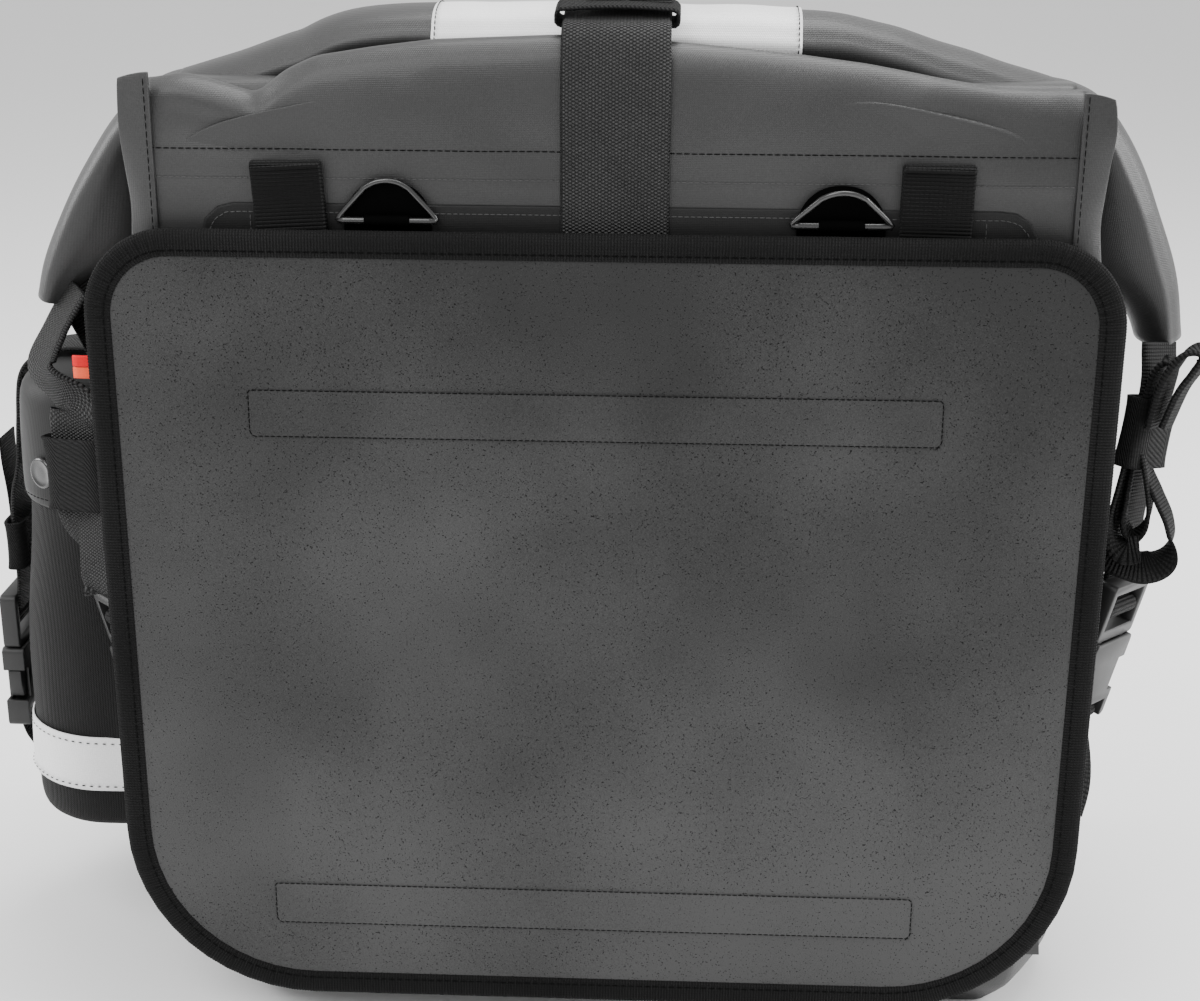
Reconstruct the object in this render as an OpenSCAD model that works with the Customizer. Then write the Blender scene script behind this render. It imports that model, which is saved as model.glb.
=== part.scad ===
// Roll-top motorcycle side bag with a bottle pocket, seen as separate sewn and moulded pieces.
// X is the width, the mounting side faces -Y, Z is up, and the origin is under the bag's middle.

/* [Bag body] */
// Half width of the back wall between its two seams
back_half = 162; // [150:1:170]
// Half width of the belly, low on the side gussets
belly_half = 187; // [180:1:190]
// Half depth of the bag, from its middle to the back or the front wall
half_depth = 92; // [90:1:96]
// Height of the shoulders, where the front wall turns in
shoulder_z = 346; // [340:1:350]
// Height of the crown under the roll
crown_z = 368; // [362:1:370]

/* [Roll closure] */
// Height of the fold above the back wall
fold_z = 377; // [375:1:378]
// Depth of the roll, front to back
roll_d = 46; // [40:1:48]
// Thickness of the roll
roll_t = 20; // [18:1:22]
// Width of the reflective band on the roll
band_w = 133; // [110:1:140]

/* [Back panel] */
// Width of the heat panel with its binding
panel_w = 370; // [360:1:372]
// Height of the heat panel with its binding
panel_h = 310; // [300:1:312]
// Height of the panel's lower edge above the base
panel_z = 12; // [11:1:14]
// Sideways place of the panel's middle
panel_x = -3.6; // [-5:0.1:0]
// Visible width of the binding tape
binding_w = 10; // [8:0.5:12]
// Length of the sewn anchor strips
strip_l = 250; // [200:5:260]
// Height of the sewn anchor strips
strip_h = 17.5; // [15:0.5:20]

/* [Webbing and buckles] */
// Width of the wide centre strap
wide_web = 38; // [36:1:40]
// Width of the narrow straps
web = 25; // [24:0.5:26]
// Thickness of the wide webbing
web_t = 1.8; // [1.4:0.2:1.8]
// Thickness of a buckle
buckle_t = 9.5; // [9:0.5:10]

/* [Mounting rings] */
// Width of a ring across its straight bar
ring_w = 37; // [34:1:38]
// Height of a ring from its bar to its crown
ring_h = 15; // [13:1:16]
// Radius of the ring's straight bar
ring_r = 1.3; // [1.2:0.1:1.4]

/* [Side pocket] */
// Depth of the pocket along the bag's side
pocket_d = 102; // [95:1:104]
// Height of the pocket's open mouth
pocket_top = 238; // [230:1:238]
// Height of the pocket's floor
pocket_floor = 58; // [56:1:60]
// Width of the reflective band on the pocket
pocket_band_h = 24; // [20:1:26]

/* [Hidden] */
$fn = 32;

y_back = -half_depth;                 // outer face of the back wall
board_t = 2;                          // thickness of the stiffening boards
base_w = 280;                         // width of the base board and its wear patch
base_d = 120;                         // depth of the base board and its wear patch
base_recess = 3.4;                    // depth of the recess that holds them
patch_t = 1;                          // thickness of the patch
y_web = y_back - patch_t - 0.4;       // face of the wall side of everything tucked behind the panel
y_lip = -97.4;                        // wall side of the heat panel
lip_t = 1;                            // thickness of a binding lip
core_t = 3;                           // thickness of the felt core
y_face = y_lip - lip_t - core_t - 0.1;
web_gap = 0.4;                        // air between a strap and what it lies on
strap_x = 1.1;                        // sideways place of the centre strap
tab_x = 113;                          // sideways place of each hanger loop
ring_x = 79;                          // sideways place of each ring
ring_z = 324.8;                       // height of the rings' straight bars
ring_y = -96;
ring_lean = 26;                       // lean of the right ring, towards the panel
male_l = 24;                          // length of a buckle's ladder half above the mouth
female_l = 36;                        // length of a buckle's socket half below the mouth
fit_gap = 0.35;                       // air between two moving bodies
ladder_t = buckle_t - 2.5;            // thickness of a buckle's ladder half
bar_t = 3.4;                          // thickness of the bars that webbing wraps
bar_z = 10.5;                         // height of the ladder's middle bar above the mouth
bar_h = 3.5;                          // height of that bar
wrap_t = 1.5;                         // thickness of webbing round a bar
strap_end_z = 30;                     // height above a buckle's mouth where its strap begins

// Each buckle's mouth, its tilt about Y and its turn about its own length
front_at = [[strap_x, half_depth + 7, 232], 0, 0];
left_at = [[-188.5, -75, 149], -14.5, -54];
right_at = [[190, -75, 164], 14.5, 54];
pocket_at = [[-257, -5, 124], 0, 90];

PVC = [0.27, 0.28, 0.28];
FELT = [0.3, 0.3, 0.3];
BLACK = [0.07, 0.07, 0.07];
REFLECT = [0.85, 0.86, 0.86];
CORDURA = [0.13, 0.13, 0.13];
PLASTIC = [0.2, 0.2, 0.21];
BOARD = [0.9, 0.9, 0.88];

// ---- shared shapes -------------------------------------------------------------------------

// Points of an arc about c, from angle a0 to a1
function arc(c, r, a0, a1, n = 8) =
    [for (i = [0:n]) c + r * [cos(a0 + (a1 - a0) * i / n), sin(a0 + (a1 - a0) * i / n)]];

// Outline of the bag at one height: a flat back, swelling gussets and a rounded front
function body_outline(back, side, y0, y1, r) = concat(
    [[-back, y0], [back, y0], [side, y0 + 58]],
    arc([side - r, y1 - r], r, 0, 90),
    arc([-side + r, y1 - r], r, 90, 180),
    [[-side, y0 + 58]]);

module body_slab(back, side, y1, z, h) {
    translate([0, 0, z])
        linear_extrude(h)
            polygon(body_outline(back, side, y_back, y1, 30));
}

// The bag's smooth outer form, from the base to the crown
module body_form() {
    hull() {
        body_slab(back_half - 12, belly_half - 14, half_depth - 12, 0, 1);
        body_slab(back_half, belly_half, half_depth, 14, 106);
        body_slab(back_half, belly_half - 9, half_depth, 249, 1);
        body_slab(back_half, belly_half - 15, half_depth, 299, 1);
        body_slab(back_half, back_half + 2, half_depth - 30, shoulder_z - 1, 1);
        body_slab(90, 92, 0, crown_z - 1, 1);
    }
}

// A disc across the width at [x, y, z], used to loft along X
module x_disc(x, y, z, ry, rz, t = 0.6) {
    translate([x, y, z])
        rotate([90, 0, 90])
            linear_extrude(t, center = true)
                polygon([for (a = [0:15:345]) [ry * cos(a), rz * sin(a)]]);
}

// Two-sided outline of a strip of thickness t that follows a path to the path's left
function unit(v) = v / norm(v);
function side_of(v) = [-v[1], v[0]];
function path_dir(p, i) =
    unit((i == 0 ? p[1] : p[i]) - (i == 0 ? p[0] : p[i - 1])
        + (i == len(p) - 1 ? [0, 0] : p[i + 1] - p[i]));
function strip_outline(p, t) = concat(
    p, [for (i = [len(p) - 1:-1:0]) p[i] + t * side_of(path_dir(p, i))]);

// Webbing whose path lies in the YZ plane, with its width along X about x
module yz_strap(path, t, w, x) {
    translate([x - w / 2, 0, 0])
        rotate([90, 0, 90])
            linear_extrude(w)
                polygon(strip_outline(path, t));
}

// Webbing whose path lies in the XZ plane, with its width along Y about y
module xz_strap(path, t, w, y) {
    translate([0, y + w / 2, 0])
        rotate([90, 0, 0])
            linear_extrude(w)
                polygon(strip_outline(path, t));
}

// A flat plate that is one station of a twisting strap
module station(p, w, t, turn) {
    translate(p)
        rotate([0, 0, turn])
            cube([w, t, 0.8], center = true);
}

// A strap that turns about its length from station to station
module twisting_strap(stations, w, t) {
    for (i = [0:len(stations) - 2])
        hull() {
            station(stations[i][0], w, t, stations[i][1]);
            station(stations[i + 1][0], w, t, stations[i + 1][1]);
        }
}

module rounded_plate(w, h, r_top, r_low, t) {
    rotate([90, 0, 0])
        linear_extrude(t)
            polygon(concat(
                arc([w / 2 - r_low, r_low], r_low, -90, 0),
                arc([w / 2 - r_top, h - r_top], r_top, 0, 90),
                arc([-w / 2 + r_top, h - r_top], r_top, 90, 180),
                arc([-w / 2 + r_low, r_low], r_low, 180, 270)));
}

// ---- bag body ------------------------------------------------------------------------------

module fold_ridge(x, z_end) {
    hull() {
        x_disc(x, y_back + 12, z_end, 11, 11);
        x_disc(0, y_back + 12, fold_z, 11, 11);
    }
}

module bag_shell() {
    color(PVC)
        difference() {
            union() {
                body_form();
                fold_ridge(-back_half, 363);
                fold_ridge(back_half, 360);
            }
            board_recess(292, 292);
            translate([0, -4, 0])
                cube([base_w + 2, base_d + 2, 2 * base_recess], center = true);
        }
}

// The back board lies in a shallow recess that the sewn patch closes
module board_recess(w, h) {
    translate([0, y_back + board_t + 0.3, 29])
        rounded_plate(w, h, 12, 12, 4);
}

module back_stiffener() {
    color(BOARD)
        translate([0, y_back + board_t, 30])
            rounded_plate(290, 290, 12, 12, board_t);
}

// The base board lies above the wear patch, flush with the bag's underside
module base_stiffener() {
    color(BOARD)
        translate([0, -4, base_recess - board_t / 2 - 0.2])
            cube([base_w, base_d, board_t], center = true);
}

module base_patch() {
    color(PVC)
        translate([-base_w / 2, -4 - base_d / 2, 0])
            cube([base_w, base_d, 1]);
}

module seam_flange(side, z_top) {
    low = 40;
    color(PVC)
        translate([side * (back_half + 3), y_back, low])
            rounded_plate(15, z_top - low, 5, 3, 3.4);
}

module back_patch() {
    color(PVC)
        translate([1.7, y_back, 40])
            rounded_plate(296, 290, 10, 10, patch_t);
}

// ---- roll closure --------------------------------------------------------------------------

roll_y = y_back + 54;
roll_low = crown_z + 6;
roll_end_low = 351;

module roll_stretch(x0, z0, x1, z1) {
    hull() {
        x_disc(x0, roll_y, z0 + roll_t / 2, roll_d / 2, roll_t / 2);
        x_disc(x1, roll_y, z1 + roll_t / 2, roll_d / 2, roll_t / 2);
    }
}

module closure_roll() {
    color(PVC)
        difference() {
            union() {
                roll_stretch(-159, roll_end_low, -88, roll_low);
                roll_stretch(-88, roll_low, 88, roll_low);
                roll_stretch(88, roll_low, 159, roll_end_low - 1);
            }
            translate([0, roll_y, roll_low + roll_t / 2])
                cube([164, 32, 3], center = true);
        }
}

module mouth_stiffener() {
    color(BOARD)
        translate([0, roll_y, roll_low + roll_t / 2])
            cube([162, 30, 2], center = true);
}

// A point of the roll's oval section at angle a, grown outwards by grow
function oval_point(a, grow) = [(roll_d / 2 + grow) * cos(a), (roll_t / 2 + grow) * sin(a)];

module roll_band() {
    lift = 0.9;
    clear = 0.3;
    color(REFLECT)
        translate([0, roll_y, roll_low + roll_t / 2])
            rotate([90, 0, 90])
                linear_extrude(band_w, center = true)
                    polygon(concat(
                        [for (a = [0:15:180]) oval_point(a, clear)],
                        [for (a = [180:-15:0]) oval_point(a, lift)]));
}

module ear_ball(x, z, r, w) {
    translate([x, roll_y - w / 2, z])
        rotate([-90, 0, 0])
            cylinder(h = w, r = r);
}

module ear_left() {
    color(PVC) {
        hull() {
            x_disc(-160.2, roll_y, roll_end_low + roll_t / 2, roll_d / 2 - 1, roll_t / 2);
            ear_ball(-182, 355, 8, 42);
        }
        hull() {
            ear_ball(-182, 355, 8, 42);
            ear_ball(-213, 293, 9, 36);
        }
    }
}

module ear_right() {
    color(PVC) {
        hull() {
            x_disc(160.2, roll_y, roll_end_low - 1 + roll_t / 2, roll_d / 2 - 1, roll_t / 2);
            ear_ball(178, 352, 9, 42);
        }
        hull() {
            ear_ball(178, 352, 9, 42);
            ear_ball(204, 283, 10, 36);
        }
    }
}

// ---- back panel ----------------------------------------------------------------------------

panel_r_top = 32;
panel_r_low = 72;

module panel_plate(inset, y, t) {
    translate([panel_x, y, panel_z + inset])
        rounded_plate(panel_w - 2 * inset, panel_h - 2 * inset,
            panel_r_top - inset, panel_r_low - inset, t);
}

module heat_panel() {
    color(FELT)
        panel_plate(1.2, y_lip - lip_t - 0.1, core_t);
}

module panel_binding() {
    color(BLACK)
        difference() {
            panel_plate(0, y_lip, lip_t + core_t + lip_t + 0.2);
            panel_plate(1.1, y_lip - lip_t, core_t + 0.2);
            panel_plate(binding_w, y_lip + 1, 8);
        }
}

module anchor_strip(z) {
    color(FELT)
        translate([-5.8, y_face, z - strip_h / 2])
            rounded_plate(strip_l, strip_h, 2, 2, 0.8);
}

module upper_strip() { anchor_strip(255); }

module lower_strip() { anchor_strip(53); }

// ---- centre strap --------------------------------------------------------------------------

strap_path = [
    [y_web, 290], [y_web, 372], [-90.5, 382], [-87, 388.5], [-83, 391.2], [-65, 394.2],
    [-58, 396.2], [-38, 397], [-20, 395.5], [-10, 389], [24, 374.5], [50, 363],
    [68, 346.5], [84, 326], [93, 309.5], [93.6, 290], [94, 260]];

module centre_strap() {
    color(BLACK) {
        yz_strap(strap_path, web_t, wide_web, strap_x);
        at(front_at) ladder_wrap(wide_web, -1);
    }
}

// The keeper is a flat band of webbing round the strap, where it crosses the fold
module strap_keeper() {
    w = wide_web + 5;
    color(BLACK)
        translate([strap_x, -74.15, 393.6])
            rotate([9.5, 0, 0])
                difference() {
                    cube([w, 13, 5.8], center = true);
                    cube([w - 3, 15, 3.4], center = true);
                }
}

module strap_tail() {
    color(BLACK)
        yz_strap([[-66, 399.6], [-52, 400.6], [-36, 400.8], [-22, 399.8]],
                 web_t, wide_web - 8, strap_x + 4);
}

module front_anchor_strap() {
    color(BLACK) {
        translate([strap_x - wide_web / 2, half_depth + web_gap, 120])
            cube([wide_web, web_t, 60]);
        yz_strap([[half_depth + 5.6, 195.6], [half_depth + web_gap, 178]], web_t, wide_web, strap_x);
        at(front_at) socket_wrap(wide_web);
    }
}

// ---- side-release buckles ------------------------------------------------------------------
// Local frame: X across the webbing, Y through the buckle, Z along the webbing, mouth at z = 0.

module slot(w, z0, z1) {
    translate([-w / 2, -buckle_t, z0])
        cube([w, 2 * buckle_t, z1 - z0]);
}

module buckle_block(w, t, z0, z1, r = 2.4) {
    translate([0, t / 2, (z0 + z1) / 2])
        rotate([90, 0, 0])
            linear_extrude(t)
                offset(r = r)
                    square([w - 2 * r, z1 - z0 - 2 * r], center = true);
}

// Ladder half, with two webbing slots above and a guide tongue that enters the socket
module buckle_male(w) {
    frame = w + 8;
    color(PLASTIC) {
        difference() {
            buckle_block(frame, ladder_t, fit_gap, male_l);
            slot(w + 1, 5, bar_z);
            slot(w + 1, bar_z + bar_h, 20);
            for (side = [-1, 1])
                translate([-(w + 1) / 2, side * (bar_t / 2 + 5) - 5, bar_z - 1])
                    cube([w + 1, 10, bar_h + 2]);
        }
        translate([-2.4, -1.8, -20])
            cube([4.8, 3.6, 20 + fit_gap + 1]);
    }
}

// Socket half, with a window on each edge for the prongs and a slot for the anchor webbing
module buckle_female(w) {
    frame = w + 8;
    color(PLASTIC)
        difference() {
            buckle_block(frame, buckle_t, -female_l, 0);
            translate([-frame / 2 + 2, -buckle_t / 2 + 1.6, -26])
                cube([frame - 4, buckle_t - 3.2, 30]);
            for (side = [-1, 1])
                translate([side * frame / 2 - 5, -buckle_t, -24])
                    cube([10, 2 * buckle_t, 14]);
            slot(w + 1, 3 - female_l, 7.4 - female_l);
            for (side = [-1, 1])
                translate([-(w + 1) / 2, side * (bar_t / 2 + 5) - 5, -female_l - 1])
                    cube([w + 1, 10, 6]);
        }
}

// Webbing of thickness wrap_t round a bar that spans z0 to z1, in a buckle's own frame
module bar_wrap(w, z0, z1) {
    reach = wrap_t + 0.15;
    difference() {
        translate([-w / 2, -bar_t / 2 - reach, z0 - reach])
            cube([w, bar_t + 2 * reach, z1 - z0 + 2 * reach]);
        translate([-w, -bar_t / 2 - 0.15, z0 - 0.15])
            cube([2 * w, bar_t + 0.3, z1 - z0 + 0.3]);
    }
}

// End of a strap: down the back of the ladder half and round its middle bar
module ladder_wrap(w, back) {
    bar_wrap(w, bar_z, bar_z + bar_h);
    mirror([0, back < 0 ? 1 : 0, 0])
        yz_strap([[ladder_t / 2 + 0.2, strap_end_z + 1], [ladder_t / 2 + 0.2, 19.4],
            [bar_t / 2 + 0.2, bar_z + bar_h + 0.4]], wrap_t, w, 0);
}

// End of an anchor strap: round the socket's lower bar
module socket_wrap(w) {
    bar_wrap(w, -female_l, 3 - female_l);
}

// One sprung prong: an arm inside the socket and a button that fills the window
module buckle_prong(w, side) {
    edge = (w + 8) / 2;
    color(PLASTIC)
        rotate([90, 0, 0])
            linear_extrude(buckle_t - 4, center = true)
                polygon([
                    for (p = [[edge - 7.6, -0.2], [edge - 4.4, -0.2], [edge - 3.4, -10.4],
                        [edge - 0.2, -10.4], [edge - 0.2, -17], [edge - 1.6, -22.4], [edge - 6, -23],
                        [edge - 7.6, -14]])
                    [side * p[0], p[1]]]);
}

module at(place) {
    translate(place[0])
        rotate([0, place[1], 0])
            rotate([0, 0, place[2]])
                children();
}

// Where a point of a buckle's own frame lies once the buckle is in place
function point_at(place, p) =
    let (tilt = place[1],
         turn = place[2],
         x = p[0] * cos(turn) - p[1] * sin(turn),
         y = p[0] * sin(turn) + p[1] * cos(turn))
    place[0] + [x * cos(tilt) + p[2] * sin(tilt), y, p[2] * cos(tilt) - x * sin(tilt)];

module front_buckle_male() { at(front_at) buckle_male(wide_web); }

module front_buckle_female() { at(front_at) buckle_female(wide_web); }

module front_prong_a() { at(front_at) buckle_prong(wide_web, 1); }

module front_prong_b() { at(front_at) buckle_prong(wide_web, -1); }

module left_buckle_male() { at(left_at) buckle_male(web); }

module left_buckle_female() { at(left_at) buckle_female(web); }

module left_prong_a() { at(left_at) buckle_prong(web, 1); }

module left_prong_b() { at(left_at) buckle_prong(web, -1); }

module right_buckle_male() { at(right_at) buckle_male(web); }

module right_buckle_female() { at(right_at) buckle_female(web); }

module right_prong_a() { at(right_at) buckle_prong(web, 1); }

module right_prong_b() { at(right_at) buckle_prong(web, -1); }

module pocket_buckle_male() { at(pocket_at) buckle_male(web); }

module pocket_buckle_female() { at(pocket_at) buckle_female(web); }

module pocket_prong_a() { at(pocket_at) buckle_prong(web, 1); }

module pocket_prong_b() { at(pocket_at) buckle_prong(web, -1); }

// ---- hanger loops and rings ----------------------------------------------------------------

// Webbing folded over at the top, both layers tucked behind the panel
module hanger_loop(x, z_top) {
    thick = 3.6;
    color(BLACK)
        translate([x, y_web, 290])
            rounded_plate(web, z_top - 290, 0.6, 0.6, thick);
}

module hanger_loop_left() { hanger_loop(-tab_x, 345); }

module hanger_loop_right() { hanger_loop(tab_x, 346); }

// Rubber tab behind a ring, with the sleeve that the ring's bar turns in
module ring_tab(x) {
    color(BLACK)
        translate([x, 0, 0]) {
            translate([0, y_back - patch_t - 0.1, 300])
                rounded_plate(ring_w - 7, ring_z + ring_h - 300 - 1.6, 13, 2, 0.8);
            translate([-8, ring_y, ring_z])
                rotate([0, 90, 0])
                    difference() {
                        cylinder(h = 16, r = ring_r + 0.9);
                        translate([0, 0, -1]) cylinder(h = 18, r = ring_r + 0.1);
                    }
            translate([-8, ring_y + ring_r + 0.5, ring_z - 1])
                cube([16, 1.2, 2]);
        }
}

module ring_tab_left() { ring_tab(-ring_x); }

module ring_tab_right() { ring_tab(ring_x + 1.5); }

// Closed bow of a ring: legs that lean in to a wide round crown
function bow(w, h) = concat(
    [[w / 2, 0], [w / 2 - 2.4, 3]],
    arc([0, h - 13], 13, 50, 130, 10),
    [[-w / 2 + 2.4, 3], [-w / 2, 0]]);

module ring(x, lean) {
    rim = 2.2;
    bar_r = ring_r;
    color(PLASTIC)
        translate([x, ring_y, ring_z])
            rotate([lean, 0, 0]) {
                translate([-ring_w / 2 + 1, 0, 0])
                    rotate([0, 90, 0])
                        cylinder(h = ring_w - 2, r = bar_r);
                rotate([90, 0, 0])
                    linear_extrude(2 * bar_r, center = true)
                        difference() {
                            polygon(bow(ring_w, ring_h));
                            polygon(bow(ring_w - 2 * rim, ring_h - rim));
                        }
            }
}

module ring_left() { ring(-ring_x, 0); }

module ring_right() { ring(ring_x + 1.5, ring_lean); }

// ---- left closure strap --------------------------------------------------------------------

left_end = point_at(left_at, [0, ladder_t / 2 + 0.2 + wrap_t / 2, strap_end_z]);
left_axis = unit([-3, 5, 60]);
left_sleeve_at = [-203.2, -75, 222];
left_stations = [
    [[-211, -61.5, 282], -30], [[-212, -66, 262], -30], [left_sleeve_at + 22 * left_axis, -24],
    [left_sleeve_at - 22 * left_axis, -24], [left_end, -54]];

module left_upper_strap() {
    color(BLACK) {
        twisting_strap(left_stations, web, 2.6);
        at(left_at) ladder_wrap(web, 1);
    }
}

module sleeve(p, axis, turn, l) {
    color(BLACK)
        translate(p)
            rotate([-asin(axis[1]), atan2(axis[0], axis[2]), 0])
                rotate([0, 0, turn])
                    difference() {
                        cube([web + 6, 7.4, l], center = true);
                        cube([web + 3, 5, l + 2], center = true);
                    }
}

module left_sleeve() { sleeve(left_sleeve_at, left_axis, -24, 28); }

// Anchor strap from the socket's bar down to the seam flange
module anchor_strap(place, side, z) {
    color(BLACK) {
        at(place) socket_wrap(web - 1);
        twisting_strap([
            [point_at(place, [0, 0, -female_l - 2.6]), place[2]],
            [[side * (back_half + 12), y_back + 4, z], side * 12]], web - 1, wrap_t);
    }
}

module left_lower_strap() { anchor_strap(left_at, -1, 84); }

module tag(z, tone) {
    color(tone)
        translate([-back_half - 34, y_back - 2.2, z])
            cube([23.2, 1, 4.2]);
}

module tag_red() { tag(269.5, [0.85, 0.05, 0.06]); }

module tag_orange() { tag(265.1, [0.95, 0.36, 0.2]); }

// ---- right closure strap -------------------------------------------------------------------

right_end = point_at(right_at, [0, ladder_t / 2 + 0.2 + wrap_t / 2, strap_end_z]);
right_axis = unit([6, 5, 36]);
right_sleeve_at = [200, -66, 243];
right_stations = [
    [[204, -61.8, 271], 50], [right_sleeve_at + 19 * right_axis, 50],
    [right_sleeve_at - 19 * right_axis, 50], [right_end, 54]];

module right_upper_strap() {
    color(BLACK) {
        twisting_strap(right_stations, web, 2.6);
        at(right_at) ladder_wrap(web, 1);
    }
}

// Spare webbing folded flat, standing out of the sleeve's top
module right_fold() {
    color(BLACK)
        xz_strap([[206, 268], [209, 273], [214, 277.5], [220, 278], [221.5, 274.5],
            [218, 270], [213, 265], [211, 261]], 1.6, 14, -78);
}

module right_sleeve() { sleeve(right_sleeve_at, right_axis, 50, 26); }

// Spare webbing hanging below the sleeve in an open loop
module right_loops() {
    color(BLACK)
        xz_strap([for (a = [110:-20:-150]) [207.5, 204] + [8.6 * cos(a), 17 * sin(a)]], 1.6, 14, -84);
}

module right_lower_strap() { anchor_strap(right_at, 1, 98); }

// ---- side pocket ---------------------------------------------------------------------------

pocket_y = -5;
pocket_r = 36;

// Outline with a flat side on the bag and two round outer corners
function pocket_outline(x_in, x_out, grow) = concat(
    [[x_in, pocket_y - pocket_d / 2 - grow]],
    [[x_in, pocket_y + pocket_d / 2 + grow]],
    arc([x_out + pocket_r, pocket_y + pocket_d / 2 - pocket_r], pocket_r + grow, 90, 180),
    arc([x_out + pocket_r, pocket_y - pocket_d / 2 + pocket_r], pocket_r + grow, 180, 270));

module pocket_slab(x_in, x_out, z, grow) {
    translate([0, 0, z])
        linear_extrude(0.5)
            polygon(pocket_outline(x_in, x_out, grow));
}

pocket_x = -belly_half - 0.6;
pocket_out_low = -248;
pocket_out_top = -238;

module pocket_form(grow, z0, z1) {
    hull() {
        pocket_slab(pocket_x, pocket_out_low + 9, z0, grow - 4);
        pocket_slab(pocket_x, pocket_out_low, z0 + 12, grow);
        pocket_slab(pocket_x, pocket_out_top, z1 - 0.5, grow);
    }
}

module pocket_shell() {
    color(CORDURA)
        difference() {
            pocket_form(0, pocket_floor, pocket_top);
            intersection() {
                pocket_form(-2, pocket_floor + 2, pocket_top + 2);
                translate([pocket_x - 102, -100, 0])
                    cube([100, 200, 300]);
            }
        }
}

module pocket_lid() {
    skirt_z = 200;
    lid_top = pocket_top + 14;
    color(CORDURA)
        difference() {
            hull() {
                pocket_slab(pocket_x, pocket_out_top - 2, skirt_z, 2.2);
                pocket_slab(pocket_x, pocket_out_top, lid_top - 7, 2.2);
                pocket_slab(pocket_x, pocket_out_top + 8, lid_top - 0.5, -4);
            }
            hull() {
                pocket_slab(pocket_x + 1, pocket_out_top - 2.6, skirt_z - 1, 0.6);
                pocket_slab(pocket_x + 1, pocket_out_top, lid_top - 9, 0.6);
                pocket_slab(pocket_x + 1, pocket_out_top + 8, lid_top - 3, -5);
            }
        }
}

module pocket_band() {
    color(REFLECT)
        intersection() {
            difference() {
                pocket_form(1.2, pocket_floor, pocket_top);
                pocket_form(0.3, pocket_floor, pocket_top);
            }
            translate([-300, -100, 77])
                cube([300 + pocket_x - 0.4, 200, pocket_band_h]);
        }
}

module pocket_strap() {
    color(BLACK) {
        xz_strap([[-206, 254.8], [-226, 255], [-238.4, 250.4], [-244, 243.4], [-246.2, 205],
            [-249.5, 196], [-253.4, 186], [-253.4, 153]], wrap_t, web, pocket_y);
        at(pocket_at) ladder_wrap(web, -1);
    }
}

module pocket_keeper() {
    w = web + 6;
    color(BLACK)
        translate([-252.6, pocket_y, 170])
            difference() {
                cube([6.4, w, 20], center = true);
                cube([3.6, w - 3, 22], center = true);
            }
}

module pocket_lower_strap() {
    color(BLACK) {
        at(pocket_at) socket_wrap(web - 1);
        xz_strap([[-257.5, 87], [-256.5, 84], [-252, 76.5], [-249.6, 70]], wrap_t, web - 1, pocket_y);
    }
}

module snap_cap() {
    aim = 56;
    reach = pocket_r + 2.5;
    color(PLASTIC)
        translate([pocket_out_top + pocket_r - 1.8, pocket_y - pocket_d / 2 + pocket_r, 214])
            rotate([0, 0, 180 + aim])
                translate([reach, 0, 0])
                    rotate([0, 90, 0])
                        cylinder(h = 1.8, r = 6.3);
}

module seam_flange_left() { seam_flange(-1, 375); }

module seam_flange_right() { seam_flange(1, 371); }

bag_shell();
back_stiffener();
base_stiffener();
base_patch();
seam_flange_left();
seam_flange_right();
back_patch();
closure_roll();
mouth_stiffener();
roll_band();
ear_left();
ear_right();
heat_panel();
panel_binding();
upper_strip();
lower_strip();
centre_strap();
strap_keeper();
strap_tail();
front_anchor_strap();
front_buckle_male();
front_buckle_female();
front_prong_a();
front_prong_b();
hanger_loop_left();
hanger_loop_right();
ring_tab_left();
ring_tab_right();
ring_left();
ring_right();
left_upper_strap();
left_sleeve();
left_lower_strap();
tag_red();
tag_orange();
left_buckle_male();
left_buckle_female();
left_prong_a();
left_prong_b();
right_upper_strap();
right_fold();
right_sleeve();
right_loops();
right_lower_strap();
right_buckle_male();
right_buckle_female();
right_prong_a();
right_prong_b();
pocket_shell();
pocket_lid();
pocket_band();
pocket_strap();
pocket_keeper();
pocket_lower_strap();
pocket_buckle_male();
pocket_buckle_female();
pocket_prong_a();
pocket_prong_b();
snap_cap();
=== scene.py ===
"""Looks of a roll-top motorcycle side bag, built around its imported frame.

X is the width, the mounting side faces -Y, Z is up, and every length is in metres. Each
sub-assembly is a class that holds its sizes, builds its meshes and dresses them.
"""

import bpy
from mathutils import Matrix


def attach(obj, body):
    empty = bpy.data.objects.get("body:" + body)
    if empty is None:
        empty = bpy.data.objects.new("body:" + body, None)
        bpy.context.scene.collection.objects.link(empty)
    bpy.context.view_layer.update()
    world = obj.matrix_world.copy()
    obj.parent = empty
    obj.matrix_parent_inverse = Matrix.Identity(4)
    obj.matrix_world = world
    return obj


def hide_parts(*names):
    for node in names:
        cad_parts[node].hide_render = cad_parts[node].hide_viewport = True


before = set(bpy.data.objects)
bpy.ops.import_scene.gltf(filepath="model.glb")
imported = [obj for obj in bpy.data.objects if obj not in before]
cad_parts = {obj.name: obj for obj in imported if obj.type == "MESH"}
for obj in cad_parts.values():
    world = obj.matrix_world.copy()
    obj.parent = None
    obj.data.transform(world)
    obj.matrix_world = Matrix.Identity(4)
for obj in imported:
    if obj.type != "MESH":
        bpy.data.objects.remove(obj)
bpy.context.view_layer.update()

import logging
import math
from dataclasses import dataclass
from enum import Enum
from typing import Callable, Iterable, Sequence

import bmesh
import bpy
from mathutils import Matrix, Vector, noise
from mathutils.bvhtree import BVHTree

log = logging.getLogger("side_bag")
MM = 0.001
ROUNDED_EDGE = math.radians(35)   # an edge sharper than this is rounded by a bevel
SHARP_EDGE = math.radians(40)     # an edge sharper than this stays sharp on a moulded piece

Path = list[Vector]


# ---- small maths ----------------------------------------------------------------------------


def mm(x: float, y: float, z: float) -> Vector:
    """A place given in millimetres, as a vector in metres."""
    return Vector((x, y, z)) * MM


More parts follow.
